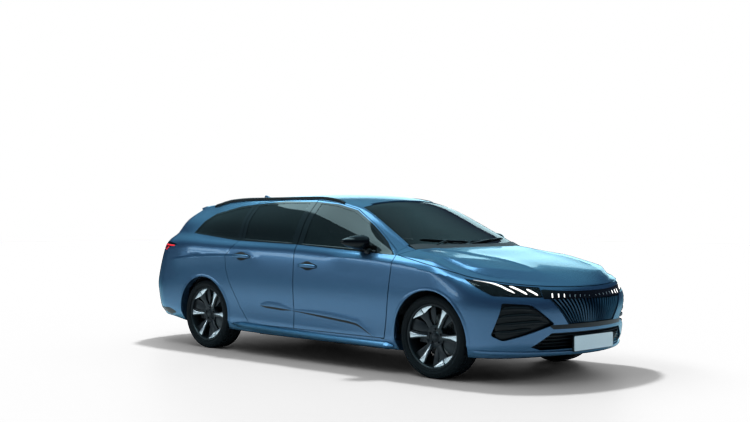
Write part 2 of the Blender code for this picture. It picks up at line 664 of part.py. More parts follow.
def build_side_frames():
    """Sills, pillars, cant rails and rear quarters, one frame on each side."""
    middle = across(MIDDLE_SHARE)
    frame = layer(0, FRAME_IN + FRAME_WALL, "side_frame_left")
    common(frame, block((FAR_REAR, middle, 0), (along(FRAME_FRONT_SHARE), REACH, TALL)))
    # the inner frame stops where the rear quarter begins
    rear_space = body_solid(WALL, "rear_space")
    common(rear_space, block((FAR_REAR, 0, 0), (along(INNER_FRAME_SHARE), REACH, TALL)))
    cut(frame, rear_space)
    cut(frame, door_recess())
    for opening in (FRONT_OPENING_SHARES, REAR_OPENING_SHARES):
        cut(frame, prism(side_outline(opening), middle, REACH, "Y"))
    front, far = along(DOOR_FRONT_SHARE), along(FRAME_FAR_SHARE)
    cut(frame, prism([(front, up(SILL_TOP_SHARE)), (far, up(SILL_TOP_SHARE)), (far, TALL), (front, TALL)], 0, REACH, "Y"))
    cut(frame, prism(plan_outline(WINDSCREEN_SHARES), up(BELT_SHARE), TALL, "Z"))
    cut(frame, prism(grown(plan_outline(ROOF_SHARES), SEAT_GAP), up(CANT_SHARE), TALL, "Z"))
    gate = grown(front_outline(TAILGATE_SHARES), SHUT_GAP)
    cut(frame, prism(gate, FAR_REAR, along(TAILGATE_TOP_SHARE) + SHUT_GAP, "X"))
    cut(frame, prism(side_outline(QUARTER_GLASS_SHARES), 0, REACH, "Y"))
    lamp = layer(-WALL, FRONT_WALL + SEAT_GAP, "lamp")
    common(lamp, prism(grown(side_outline(TAIL_LAMP_SHARES), SEAT_GAP), middle, REACH, "Y"))
    cut(frame, lamp)
    cut(frame, rear_bumper_region(SEAT_GAP))
    cut(frame, block((FAR_REAR, 0, 0), (far, across(SILL_INNER_SHARE), up(SILL_TRIM_SHARE))))
    cut_arches(frame, REAR_AXLE_X)
    cut_arches(frame, FRONT_AXLE_X)
    finish(frame, "paint")
    mirrored(frame, "side_frame_right")


def rear_bumper_region(by):
    line = side_outline(BUMPER_REAR_SHARES)
    outline = [(line[0][0], -CUT_OVERRUN), line[0], line[1], (FAR_REAR, line[1][1]), (FAR_REAR, -CUT_OVERRUN)]
    return region(grown(outline, by))


# Shut lines of the outer panels: along share, height share
BUMPER_FRONT_SHARES = ((1.363, 0.60), (1.363, 0.533), (1.30, 0.42), (1.20, 0.30))
WING_REAR_SHARES = (
    (0.8545, 0.700), (0.8545, 0.660), (0.8645, 0.642), (0.8600, 0.555), (0.8490, 0.381), (0.8330, 0.1845),
)
WING_TOP_SHARE = 0.69
GATE_PAD_SHARES = (0.36, 0.44)
BONNET_PAD_SHARES = (0.45, 0.65)
# Where the front cuts begin, along shares
GRILLE_START_SHARE = 1.4
INTAKE_START_SHARE = 1.45
INSERT_START_SHARE = 1.62
GATE_START_SHARE = -0.5
# The black insert behind the grille and the intakes, and the light bar across the tail: across share, height share
INSERT_SHARES = (
    (0.907, 0.17), (0.907, 0.43), (0.562, 0.43), (0.540, 0.465), (-0.540, 0.465), (-0.562, 0.43), (-0.907, 0.43),
    (-0.907, 0.17),
)
TAIL_BAR_SHARES = ((0.0, 0.682), (0.70, 0.682), (0.70, 0.615), (0.0, 0.615))
# The tailgate's full outline is only this deep, and the rest is set in by the second size
GATE_HEM = 0.008
GATE_SETBACK = 0.032


def front_bumper_region(by):
    line = side_outline(BUMPER_FRONT_SHARES)
    outline = [(line[0][0], TALL)] + line + [(line[-1][0], -CUT_OVERRUN), (FAR_FRONT, -CUT_OVERRUN), (FAR_FRONT, TALL)]
    return region(grown(outline, by))


def roof_region():
    """The roof's plan, with two hinge pads that reach the tailgate."""
    half = [(along(a), across(b)) for a, b in ROOF_SHARES]
    near, far = (across(share) for share in GATE_PAD_SHARES)
    edge = half[-1][0]
    pad = edge - SHUT_GAP + SEAT_GAP
    half[-1:-1] = [(edge, far), (pad, far), (pad, near), (edge, near)]
    return prism(half + [(x, -y) for x, y in half[::-1] if y > 0], up(CANT_SHARE), TALL, "Z")


def scuttle_region():
    """Between the windscreen and the bonnet, with a pad on each side that reaches the bonnet's hinge."""
    rear = [(along(a) + SEAT_GAP, across(b)) for a, b in WINDSCREEN_SHARES[:4]]
    front = [(along(a), across(b)) for a, b in BONNET_REAR_SHARES[:4]]
    pad = [tuple(Vector(front[-2]).lerp(Vector(front[-1]), t)) for t in BONNET_PAD_SHARES]
    line = [(x - SHUT_GAP, y) for x, y in front[:-1]]
    line += [(pad[0][0] - SHUT_GAP, pad[0][1]), (pad[0][0] - SEAT_GAP, pad[0][1])]
    line += [(pad[1][0] - SEAT_GAP, pad[1][1]), (pad[1][0] - SHUT_GAP, pad[1][1])]
    line += [(front[-1][0] - SHUT_GAP, front[-1][1])]
    half = rear + line[::-1]
    return prism(half + [(x, -y) for x, y in half[::-1] if y > 0], up(BELT_SHARE), up(CANT_SHARE), "Z")


# What the front wing leaves to the scuttle: along shares, across share
SCUTTLE_SIDE_SHARES = (0.7, 0.95, 0.75)


def wing_region():
    """The front wing's side outline."""
    line = side_outline(WING_REAR_SHARES)
    front = side_outline(BUMPER_FRONT_SHARES)
    outline = line + [(front[-1][0], line[-1][1]), front[-1]] + front[-2:0:-1] + [(front[0][0], up(WING_TOP_SHARE))]
    return prism(outline, across(MIDDLE_SHARE), REACH, "Y")


# The grille's fins fan out from the middle: each one's place between the middle and the opening's side
FIN_SHARES = (0.11, 0.31, 0.51, 0.71, 0.90)
FIN_HALF_WIDTH = 0.005
FIN_DEPTH = 0.007
FIN_LAP = 0.002


def add_fins(insert):
    """Joins the grille's upright fins to the insert behind them."""
    top, bottom = GRILLE_SHARES[1], GRILLE_SHARES[2]
    depths = layer(FIN_DEPTH, FRONT_WALL + SEAT_GAP + FIN_LAP, "depths")
    for share in FIN_SHARES:
        for sign in (1, -1):
            high, low = sign * across(top[0] * share), sign * across(bottom[0] * share)
            ends = (up(top[1]) - SHUT_GAP, up(bottom[1]) + SHUT_GAP)
            outline = [
                (high - FIN_HALF_WIDTH, ends[0]), (high + FIN_HALF_WIDTH, ends[0]), (low + FIN_HALF_WIDTH, ends[1]),
                (low - FIN_HALF_WIDTH, ends[1]),
            ]
            join(insert, common(copy_of(depths, "fin"), prism(outline, along(GRILLE_START_SHARE), FAR_FRONT, "X")))
    removed(depths)


def build_front_panels(skin):
    """Bonnet, scuttle, wings, front bumper with its insert, and headlamps."""
    bonnet = common(copy_of(skin, "bonnet"), bonnet_region(0))
    finish(bonnet, "paint")
    settle(bonnet, (BONNET_AXIS[0], 0, BONNET_AXIS[1]))
    scuttle = common(copy_of(skin, "scuttle"), scuttle_region())
    finish(scuttle, "dark_plastic")

    wing = common(copy_of(skin, "front_wing_left"), wing_region())
    cut(wing, bonnet_region(SHUT_GAP))
    rear, front, side = SCUTTLE_SIDE_SHARES
    cut(wing, block((along(rear), 0, up(BELT_SHARE)), (along(front), across(side), TALL)))
    cut(wing, headlamp_region(SEAT_GAP))
    cut_arches(wing, FRONT_AXLE_X)
    finish(wing, "paint")
    mirrored(wing, "front_wing_right")

    bumper = common(copy_of(skin, "front_bumper"), front_bumper_region(-2 * SEAT_GAP))
    cut(bumper, bonnet_region(SHUT_GAP))
    lamp_space = headlamp_region(SEAT_GAP)
    intake = prism([(across(a), up(b)) for a, b in SIDE_INTAKE_SHARES], along(INTAKE_START_SHARE), FAR_FRONT, "X")
    for cutter in (mirrored(lamp_space, "cutter"), lamp_space, mirrored(intake, "cutter"), intake):
        cut(bumper, cutter)
    for opening in (GRILLE_SHARES, LOWER_INTAKE_SHARES):
        cut(bumper, prism(front_outline(opening), along(GRILLE_START_SHARE), FAR_FRONT, "X"))
    cut_arches(bumper, FRONT_AXLE_X, (1, -1))
    finish(bumper, "paint")

    insert = layer(FRONT_WALL + SEAT_GAP, FRONT_WALL + FRONT_WALL / 2, "grille")
    outline = [(across(a), up(b)) for a, b in INSERT_SHARES]
    common(insert, prism(outline, along(INSERT_START_SHARE), FAR_FRONT, "X"))
    add_fins(insert)
    finish(insert, "black_trim")

    lamp = common(copy_of(skin, "headlamp_left"), headlamp_region(0))
    cut(lamp, bonnet_region(SHUT_GAP))
    finish(lamp, "lamp_clear")
    mirrored(lamp, "headlamp_right")


def build_rear_panels(skin):
    """Rear bumper, tail lamps, and the tailgate with its light bar."""
    rear = common(copy_of(skin, "rear_bumper"), rear_bumper_region(-SEAT_GAP))
    cut_arches(rear, REAR_AXLE_X, (1, -1))
    finish(rear, "paint")

    tail = common(copy_of(skin, "tail_lamp_left"), prism(side_outline(TAIL_LAMP_SHARES), across(MIDDLE_SHARE), REACH, "Y"))
    gate_outline = front_outline(TAILGATE_SHARES)
    cut(tail, prism(grown(gate_outline, SHUT_GAP), FAR_REAR, along(GATE_REACH_SHARE), "X"))
    finish(tail, "lamp_red")
    mirrored(tail, "tail_lamp_right")

    gate = layer(0, WALL, "tailgate")
    common(gate, prism(gate_outline, FAR_REAR, along(TAILGATE_TOP_SHARE) - SHUT_GAP, "X"))
    hidden = layer(GATE_HEM, WALL + FRAME_WALL, "hidden")
    cut(hidden, prism(grown(gate_outline, -GATE_SETBACK), FAR_REAR, FAR_FRONT, "X"))
    cut(gate, hidden)
    cut(gate, prism(front_outline(TAILGATE_GLASS_SHARES), FAR_REAR, along(GATE_REACH_SHARE), "X"))
    start = along(GATE_START_SHARE)
    bar = layer(-WALL, FRONT_WALL + SEAT_GAP, "recess")
    common(bar, prism(grown(front_outline(TAIL_BAR_SHARES), SEAT_GAP), FAR_REAR, start, "X"))
    cut(gate, bar)
    light = common(copy_of(skin, "tail_light_bar"), prism(front_outline(TAIL_BAR_SHARES), FAR_REAR, start, "X"))
    common(light, prism(gate_outline, FAR_REAR, start, "X"))
    for thing, slot in ((gate, "paint"), (light, "lamp_red")):
        finish(thing, slot)
        settle(thing, (TAILGATE_AXIS[0], 0, TAILGATE_AXIS[1]))


def build_outer_panels():
    """Everything that is cut from the thin skin."""
    skin = layer(0, FRONT_WALL, "thin_skin")
    roof = common(copy_of(skin, "roof_panel"), roof_region())
    finish(roof, "paint")
    build_front_panels(skin)
    build_rear_panels(skin)
    removed(skin)


# Wheel arch liners
LINER_WALL = 0.005
REAR_LINER_OVER = 0.010
FRONT_LINER_IN = 0.312
REAR_LINER_IN = 0.148
REAR_LINER_INNER_SHARE = 0.6803
LINER_LOW_SHARE = 0.3176
FRONT_LINER_OUTER_SHARE = 0.9125
REAR_LINER_OUTER_SHARE = 0.8877


def add_liners(thing, axle_x, radius, inner, outer):
    """Joins the liners of an axle's wheel arches, open below and outwards, to the piece that carries them."""
    for sign in (1, -1):
        liner = wheel_hollow(axle_x, sign, radius, inner, outer)
        cut(liner, wheel_hollow(axle_x, sign, radius - LINER_WALL, inner + LINER_WALL, outer + CUT_OVERRUN))
        cut(liner, block((axle_x - REACH, -REACH, -CUT_OVERRUN), (axle_x + REACH, REACH, up(LINER_LOW_SHARE))))
        join(thing, liner)


def at(shares, sign=1):
    """A place from its along, across and height shares, on either side of the car."""
    return Vector((along(shares[0]), sign * across(shares[1]), up(shares[2])))


def block_between(one, two, name="block"):
    low = [min(a, b) for a, b in zip(one, two)]
    high = [max(a, b) for a, b in zip(one, two)]
    return block(low, high, name)


def beam(corner_shares, sign=1, name="block", drop=0.0):
    """A block between two places given in shares, with its top lowered by a gap where another piece lies on it."""
    low, high = corner_shares
    return block_between(at(low, sign), at(high, sign) - Vector((0, 0, drop)), name)


# The floor's side outline: along share, height share. The other tables hold two corners: along, across, height shares
FLOOR_SHARES = (
    (0.8518, 0.1942), (0.8518, 0.1664), (0.2002, 0.1664), (0.1160, 0.3051), (-0.6784, 0.3051), (-0.6784, 0.3329),
    (0.1234, 0.3329), (0.2075, 0.1942),
)
FLOOR_BLOCK_SHARES = (
    ((0.8371, -0.756, 0.1803), (0.8516, 0.756, 0.6207)),
    ((-0.8687, -0.5616, 0.3086), (-0.6499, 0.5616, 0.3294)),
    ((-0.8805, -0.5616, 0.3204), (-0.8544, 0.5616, 0.4057)),
)
FRONT_RAIL_SHARES = ((0.8518, 0.4104, 0.3225), (1.7913, 0.5054, 0.3918))
CROSS_MEMBER_SHARES = ((1.7210, -0.6048, 0.3259), (1.7913, 0.6048, 0.3883))
BATTERY_SHARES = ((0.1709, -0.6695, 0.10402), (0.8115, 0.6695, 0.1664))
DRIVE_UNIT_SHARES = ((0.8737, 0.1803), (1.5334, 0.4854))
DRIVE_UNIT_EDGE = 0.020
DRIVE_UNIT_IN = 0.423
SUBFRAME_SHARES = ((0.9616, -0.4752, 0.1248), (1.1231, 0.4752, 0.1803))
ARM_SHARES = (
    ((0.9872, 0.3888, 0.1290), (1.0410, 0.756, 0.1484)),
    ((0.9872, 0.4320, 0.2954), (1.0410, 0.756, 0.3148)),
)
TOWER_SHARES = ((0.9660, 0.4287, 0.2940), (1.1067, 0.4676, 0.3162))
POST_SHARES = (
    ((0.9652, 0.4266, 0.1526), (0.9799, 0.4698, 0.3225)),
    ((1.0645, 0.4266, 0.1526), (1.1114, 0.4698, 0.3225)),
)
BALL_JOINT_SHARES = (0.1387, 0.3051)
BALL_JOINT_RADIUS = 0.036
BALL_JOINT_HEIGHT = 0.030
KNUCKLE_RADIUS = 0.040
STUB_RADIUS = 0.030
REAR_BEAM_SHARES = ((-0.0409, 0.2011), (0.0172, 0.2427))
REAR_BEAM_IN = 0.178
REAR_STUB_LAP = 0.010
TRAILING_ARM_SHARES = ((-0.0219, 0.54, 0.2080), (0.1600, 0.594, 0.2323))
DISC_RADIUS_SHARE = 0.671
DISC_INNER_IN = 0.036
DISC_OUTER_IN = 0.024
DISC_HUB_RADIUS = 0.075
CALIPER_BACK_SHARE = 0.610
CALIPER_LENGTH_SHARE = 0.366
CALIPER_HEIGHT_SHARE = 0.488
CALIPER_INNER_IN = 0.066
CALIPER_OUTER_OUT = 0.006
CALIPER_CLEARANCE = 0.008
BRACKET_LENGTH = 0.020
BRACKET_HEIGHT = 0.044
BRACKET_INNER_IN = 0.078
BRACKET_OUTER_IN = 0.053

DISC_RADIUS = DISC_RADIUS_SHARE * RIM_RADIUS
CALIPER_BACK = CALIPER_BACK_SHARE * RIM_RADIUS
CALIPER_LENGTH = CALIPER_LENGTH_SHARE * RIM_RADIUS
CALIPER_HEIGHT = CALIPER_HEIGHT_SHARE * RIM_RADIUS


def caliper(thing, sign, axle_x):
    """Adds a brake caliper behind the axle, astride the disc."""
    x = axle_x - CALIPER_BACK
    middle = TRACK / 2
    inner, outer = sign * (middle - CALIPER_INNER_IN), sign * (middle + CALIPER_OUTER_OUT)
    low, high = TYRE_RADIUS - CALIPER_HEIGHT / 2, TYRE_RADIUS + CALIPER_HEIGHT / 2
    body = block_between((x - CALIPER_LENGTH / 2, inner, low), (x + CALIPER_LENGTH / 2, outer, high))
    near, far = middle - DISC_INNER_IN - CALIPER_CLEARANCE, middle - DISC_OUTER_IN + CALIPER_CLEARANCE
    cut(body, wheel_hollow(axle_x, sign, DISC_RADIUS + CALIPER_CLEARANCE, near, far))
    join(thing, body)
    inner, outer = sign * (middle - BRACKET_INNER_IN), sign * (middle - BRACKET_OUTER_IN)
    low, high = TYRE_RADIUS - BRACKET_HEIGHT / 2, TYRE_RADIUS + BRACKET_HEIGHT / 2
    join(thing, block_between((x - BRACKET_LENGTH, inner, low), (axle_x, outer, high)))


def stub(axle_x, sign, inner):
    """A stub axle that ends at the wheel's hub face."""
    length = HUB_FACE_Y - SEAT_GAP - inner
    return drum((axle_x, sign * (inner + length / 2), TYRE_RADIUS), (0, 1, 0), STUB_RADIUS, length, sides=16)


def build_floor():
    """Floor pan with the rear liners, front rails with the front liners, battery and drive unit."""
    half = across(SILL_INNER_SHARE) - 2 * SEAT_GAP
    floor = prism(side_outline(FLOOR_SHARES), -half, half, "Y", "floor_pan")
    for corners in FLOOR_BLOCK_SHARES:
        join(floor, beam(corners))
    inner = min(TRACK / 2 - REAR_LINER_IN, across(REAR_LINER_INNER_SHARE))
    for sign in (1, -1):
        cut(floor, wheel_hollow(REAR_AXLE_X, sign, ARCH_RADIUS, inner, REACH))
    add_liners(floor, REAR_AXLE_X, ARCH_RADIUS + REAR_LINER_OVER, inner, across(REAR_LINER_OUTER_SHARE))
    finish(floor, "dark_plastic")

    front = beam(FRONT_RAIL_SHARES, 1, "front_structure")
    join(front, beam(FRONT_RAIL_SHARES, -1))
    join(front, beam(CROSS_MEMBER_SHARES))
    start = along(FLOOR_SHARES[0][0])
    cut(front, block((FAR_REAR, -REACH, 0), (start + SEAT_GAP, REACH, TALL)))
    add_liners(front, FRONT_AXLE_X, FRONT_LINER_RADIUS, TRACK / 2 - FRONT_LINER_IN, across(FRONT_LINER_OUTER_SHARE))
    finish(front, "steel")

    battery = beam(BATTERY_SHARES, 1, "battery_pack", SEAT_GAP)
    finish(battery, "dark_plastic")
    low, high = DRIVE_UNIT_SHARES
    half = TRACK / 2 - DRIVE_UNIT_IN
    drive = block((along(low[0]), -half, up(low[1])), (along(high[0]), half, up(high[1])), "drive_unit", DRIVE_UNIT_EDGE)
    finish(drive, "steel")


def build_axles():
    """Front suspension with its knuckles, and the rear axle."""
    arms = beam(SUBFRAME_SHARES, 1, "front_suspension", SEAT_GAP)
    for sign in (1, -1):
        for low, high in ARM_SHARES:
            end = at(high, sign)
            join(arms, block_between(at(low, sign), (end.x, sign * KINGPIN_Y, end.z)))
        for share in BALL_JOINT_SHARES:
            place = (FRONT_AXLE_X, sign * KINGPIN_Y, up(share))
            join(arms, drum(place, (0, 0, 1), BALL_JOINT_RADIUS, BALL_JOINT_HEIGHT, sides=16))
        join(arms, beam(TOWER_SHARES, sign))
        for corners in POST_SHARES:
            join(arms, beam(corners, sign, drop=SEAT_GAP))
    finish(arms, "steel")

    low, high = REAR_BEAM_SHARES
    half = TRACK / 2 - REAR_BEAM_IN
    rear = block((along(low[0]), -half, up(low[1])), (along(high[0]), half, up(high[1])), "rear_axle")
    for sign in (1, -1):
        join(rear, beam(TRAILING_ARM_SHARES, sign))
        join(rear, stub(REAR_AXLE_X, sign, half - REAR_STUB_LAP))
        caliper(rear, sign, REAR_AXLE_X)
    finish(rear, "steel")

    low, high = (up(share) for share in BALL_JOINT_SHARES)
    height = high - low - BALL_JOINT_HEIGHT - 2 * SEAT_GAP
    for sign, side in ((1, "left"), (-1, "right")):
        place = (FRONT_AXLE_X, sign * KINGPIN_Y, (low + high) / 2)
        knuckle = drum(place, (0, 0, 1), KNUCKLE_RADIUS, height, "front_knuckle_" + side)
        join(knuckle, stub(FRONT_AXLE_X, sign, KINGPIN_Y))
        caliper(knuckle, sign, FRONT_AXLE_X)
        finish(knuckle, "steel")
        settle(knuckle, (FRONT_AXLE_X, sign * KINGPIN_Y, TYRE_RADIUS))


# The tyre's section: radius place between rim and tread, share of the half width
TYRE_SECTION_SHARES = (
    (1.0, -0.78), (1.0, 0.78), (0.83, 0.96), (0.5, 1.0), (0.0, 0.86), (0.0, -0.86), (0.5, -1.0), (0.83, -0.96),
)
# The rim's section before and behind the hub and disc: share of the rim radius, share of the half width
RIM_FACE_SHARES = ((1.0, -1.0), (1.0, 1.0), (0.951, 1.0), (0.919, 0.874), (0.285, 0.632), (0.122, 0.579), (0.0, 0.579))
RIM_BACK_SHARES = ((0.285, 0.368), (0.878, 0.621), (0.894, -1.0))
# One of the rim's windows, shares of the rim radius
RIM_WINDOW_SHARES = ((0.386, -0.122), (0.833, -0.325), (0.833, 0.325), (0.386, 0.122))
RIM_WINDOWS = 6
WINDOW_START = 0.004


def rim_windows(rim):
    for k in range(RIM_WINDOWS):
        a = 2 * math.pi * k / RIM_WINDOWS
        points = [(RIM_RADIUS * x, RIM_RADIUS * z) for x, z in RIM_WINDOW_SHARES]
        points = [(x * math.cos(a) - z * math.sin(a), x * math.sin(a) + z * math.cos(a)) for x, z in points]
        cut(rim, prism(points, WINDOW_START - DISC_OUTER_IN, TYRE_WIDTH / 2, "Y"))


def build_wheels():
    """Tyres and rims with their brake discs."""
    corner = 1 / math.cos(math.pi / TYRE_SIDES)
    bead = RIM_RADIUS + SEAT_GAP
    tyre_section = []
    for depth, wide in TYRE_SECTION_SHARES:
        stretch = corner if depth == 1 else 1
        tyre_section.append(((bead + (TYRE_RADIUS - bead) * depth) * stretch, TYRE_WIDTH / 2 * wide))
    rim_section = [(RIM_RADIUS * r, RIM_WIDTH / 2 * w) for r, w in RIM_FACE_SHARES]
    back = [(RIM_RADIUS * r, RIM_WIDTH / 2 * w) for r, w in RIM_BACK_SHARES]
    rim_section += [
        (0, -HUB_IN), (DISC_HUB_RADIUS, -HUB_IN), (DISC_HUB_RADIUS, -DISC_INNER_IN), (DISC_RADIUS, -DISC_INNER_IN),
        (DISC_RADIUS, -DISC_OUTER_IN), (back[0][0], -DISC_OUTER_IN),
    ]
    rim_section += back
    for place, axle_x in (("front", FRONT_AXLE_X), ("rear", REAR_AXLE_X)):
        tyre = turned(tyre_section, (0, 0, 0), f"{place}_tyre_left", TYRE_SIDES, math.pi / TYRE_SIDES)
        rim = turned(rim_section, (0, 0, 0), f"{place}_rim_left", TYRE_SIDES, math.pi / TYRE_SIDES)
        rim_windows(rim)
        for thing, slot in ((tyre, "tyre"), (rim, "rim")):
            finish(thing, slot)
            other = mirrored(thing, thing.name.replace("left", "right"))
            thing.location = (axle_x, TRACK / 2, TYRE_RADIUS)
            other.location = (axle_x, -TRACK / 2, TYRE_RADIUS)


# The cabin: corners in shares, and the bench's side outline
SEAT_BRIDGE_SHARES = ((0.4272, -0.1728, 0.1942), (0.6248, 0.1728, 0.3467))
SEAT_EDGE = 0.015
CUSHION_SHARES = ((0.4345, 0.162, 0.1942), (0.6321, 0.6911, 0.3467))
BACKREST_SHARES = ((0.4162, 0.1728, 0.2774), (0.4601, 0.6803, 0.7143))
HEADREST_SHARES = ((0.4235, 0.2916, 0.6935), (0.4564, 0.5616, 0.8322))
RECLINE_SHARES = (0.4381, 0.0, 0.3121)
RECLINE = math.radians(-18)
BENCH_SHARES = (
    (0.3027, 0.1942), (0.3027, 0.3467), (0.2917, 0.3606), (0.1563, 0.3398), (0.1050, 0.7074), (0.0648, 0.7004),
    (0.1014, 0.3329), (0.1234, 0.3329), (0.2075, 0.1942),
)
BENCH_HALF_SHARE = 0.6695
DASHBOARD_SHARES = ((0.7053, -0.756, 0.4300), (0.8371, 0.756, 0.5964))
DASHBOARD_EDGE = 0.030
COLUMN_RADIUS = 0.030
COLUMN_LENGTH = 0.190
GRIP_RADIUS = 0.014
STEERING_WHEEL_RADIUS = 0.175
STEERING_HUB_RADIUS = 0.055
STEERING_HUB_DEPTH = 0.060
SPOKE_HALF_WIDTH = 0.022
SPOKE_HALF_THICKNESS = 0.010


def turn_about(thing, centre, angle):
    matrix = Matrix.Translation(centre) @ Matrix.Rotation(angle, 4, "Y") @ Matrix.Translation(-centre)
    thing.data.transform(matrix)
    return thing


def build_cabin():
    """Seats, dashboard with the steering column, and steering wheel."""
    lift = Matrix.Translation((0, 0, SEAT_GAP))
    low, high = SEAT_BRIDGE_SHARES
    seats = block(at(low), at(high), "front_seats", SEAT_EDGE)
    for sign in (1, -1):
        join(seats, beam(CUSHION_SHARES, sign))
        for corners in (BACKREST_SHARES, HEADREST_SHARES):
            join(seats, turn_about(beam(corners, sign), at(RECLINE_SHARES), RECLINE))
    seats.data.transform(lift)
    finish(seats, "seat")
    half = across(BENCH_HALF_SHARE)
    bench = prism(side_outline(BENCH_SHARES), -half, half, "Y", "rear_bench")
    bench.data.transform(lift)
    finish(bench, "seat")

    low, high = DASHBOARD_SHARES
    dash = block(at(low), at(high) - Vector((SEAT_GAP, 0, 0)), "dashboard", DASHBOARD_EDGE)
    direction = Vector((math.cos(STEERING_RAKE), 0, -math.sin(STEERING_RAKE)))
    start = STEERING_HUB_DEPTH / 2 + SEAT_GAP
    middle = Vector(STEERING_WHEEL_CENTRE) + direction * (start + COLUMN_LENGTH / 2)
    join(dash, drum(middle, direction, COLUMN_RADIUS, COLUMN_LENGTH, sides=16))
    finish(dash, "dark_plastic")
    finish(steering_wheel(direction), "dark_plastic")


def steering_wheel(direction):
    """A round grip with one flat spoke across and a hub."""
    bm = bmesh.new()
    made = bmesh.ops.create_circle(bm, segments=8, radius=GRIP_RADIUS)
    bmesh.ops.rotate(bm, matrix=Matrix.Rotation(math.pi / 2, 3, "X"), verts=made["verts"])
    bmesh.ops.translate(bm, vec=(STEERING_WHEEL_RADIUS, 0, 0), verts=made["verts"])
    ring = list(bm.verts) + list(bm.edges)
    bmesh.ops.spin(bm, geom=ring, axis=(0, 0, 1), cent=(0, 0, 0), angle=2 * math.pi, steps=32, use_merge=True)
    bmesh.ops.remove_doubles(bm, verts=bm.verts, dist=SEAT_GAP / 4)
    bmesh.ops.recalc_face_normals(bm, faces=bm.faces)
    wheel = object_of(bm, "steering_wheel")
    join(wheel, drum((0, 0, 0), (0, 0, 1), STEERING_HUB_RADIUS, STEERING_HUB_DEPTH, sides=16))
    corner = Vector((STEERING_WHEEL_RADIUS - GRIP_RADIUS / 2, SPOKE_HALF_WIDTH, SPOKE_HALF_THICKNESS))
    join(wheel, block(-corner, corner))
    wheel.data.transform(Vector((0, 0, 1)).rotation_difference(direction).to_matrix().to_4x4())
    wheel.location = STEERING_WHEEL_CENTRE
    return wheel


# Roof rails: along share, height share, and their place across. Mirrors: along share, across share, and their heights
RAIL_SHARES = (
    (0.556, 0.955), (0.540, 0.976), (0.40, 0.998), (0.20, 1.0), (-0.05, 0.988), (-0.22, 0.950), (-0.22, 0.90),
    (-0.17, 0.90), (-0.10, 0.962), (0.18, 0.983), (0.40, 0.981), (0.500, 0.968), (0.522, 0.90), (0.556, 0.90),
)
RAIL_ACROSS_SHARES = (0.6177, 0.6523)
MIRROR_SHARES = (
    (0.6980, 1.1050), (0.7180, 1.1100), (0.7419, 1.0637), (0.7621, 0.9773), (0.7639, 0.9179), (0.7072, 0.9179),
)
MIRROR_HEIGHT_SHARES = (0.6657, 0.7490)
MIRROR_EDGE = 0.019
MIRROR_FOOT_SHARES = ((0.7419, 0.8423, 0.6400), (0.7730, 0.985, 0.6831))


def build_rails_and_mirrors():
    """Roof rails and door mirrors."""
    near, far = RAIL_ACROSS_SHARES
    rail = prism(side_outline(RAIL_SHARES), across(near), across(far), "Y", "roof_rail_left")
    cut(rail, body_solid(-SEAT_GAP, "skin"))
    finish(rail, "black_trim")
    mirrored(rail, "roof_rail_right")
    low, high = MIRROR_HEIGHT_SHARES
    outline = [(along(a), across(b)) for a, b in MIRROR_SHARES]
    mirror = prism(outline, up(low), up(high), "Z", "door_mirror_left")
    bm = bmesh.new()
    bm.from_mesh(mirror.data)
    bmesh.ops.bevel(bm, geom=bm.edges, offset=MIRROR_EDGE, affect="EDGES", segments=2, profile=0.5, material=-1)
    bm.to_mesh(mirror.data)
    bm.free()
    join(mirror, beam(MIRROR_FOOT_SHARES))
    cut(mirror, body_solid(-SEAT_GAP, "skin"))
    finish(mirror, "black_trim")
    other = mirrored(mirror, "door_mirror_right")
    settle(mirror, (*FRONT_DOOR_AXIS, 0))
    settle(other, (FRONT_DOOR_AXIS[0], -FRONT_DOOR_AXIS[1], 0))


def main():
    build_doors()
    build_side_frames()
    build_outer_panels()
    build_floor()
    build_axles()
    build_wheels()
    build_cabin()
    build_rails_and_mirrors()


for thing in list(bpy.data.objects):
    bpy.data.objects.remove(thing)
main()
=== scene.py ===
"""The looks of a compact station wagon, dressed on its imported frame.

X runs forward, Y to the car's left and Z up, in metres, with the origin on the ground midway along the car.
"""

import json
import math

import bmesh
import bpy
from mathutils import Matrix, Vector
from mathutils.bvhtree import BVHTree
from mathutils.geometry import barycentric_transform

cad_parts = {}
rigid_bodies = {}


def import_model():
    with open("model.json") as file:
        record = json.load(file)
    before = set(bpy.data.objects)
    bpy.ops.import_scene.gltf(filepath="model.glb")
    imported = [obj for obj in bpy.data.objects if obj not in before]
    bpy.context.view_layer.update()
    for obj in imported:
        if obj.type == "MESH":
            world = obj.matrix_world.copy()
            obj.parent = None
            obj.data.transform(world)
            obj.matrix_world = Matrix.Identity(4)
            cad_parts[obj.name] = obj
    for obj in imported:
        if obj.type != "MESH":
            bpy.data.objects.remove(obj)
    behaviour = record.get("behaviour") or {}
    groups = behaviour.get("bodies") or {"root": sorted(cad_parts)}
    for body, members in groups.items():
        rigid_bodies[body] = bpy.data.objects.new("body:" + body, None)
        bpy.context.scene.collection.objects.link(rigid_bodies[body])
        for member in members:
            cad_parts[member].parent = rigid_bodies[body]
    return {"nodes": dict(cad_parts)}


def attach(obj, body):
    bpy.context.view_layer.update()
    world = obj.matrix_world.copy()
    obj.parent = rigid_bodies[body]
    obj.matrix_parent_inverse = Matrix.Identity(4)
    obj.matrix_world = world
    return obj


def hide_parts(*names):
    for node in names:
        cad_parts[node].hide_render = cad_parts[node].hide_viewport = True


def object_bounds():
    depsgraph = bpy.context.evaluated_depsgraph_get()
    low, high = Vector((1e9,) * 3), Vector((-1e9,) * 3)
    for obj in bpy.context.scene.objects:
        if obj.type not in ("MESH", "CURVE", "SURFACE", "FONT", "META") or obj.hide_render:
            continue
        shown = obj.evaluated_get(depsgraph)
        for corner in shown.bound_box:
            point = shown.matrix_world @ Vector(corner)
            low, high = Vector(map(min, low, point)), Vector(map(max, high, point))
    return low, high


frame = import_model()
cad_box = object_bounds()

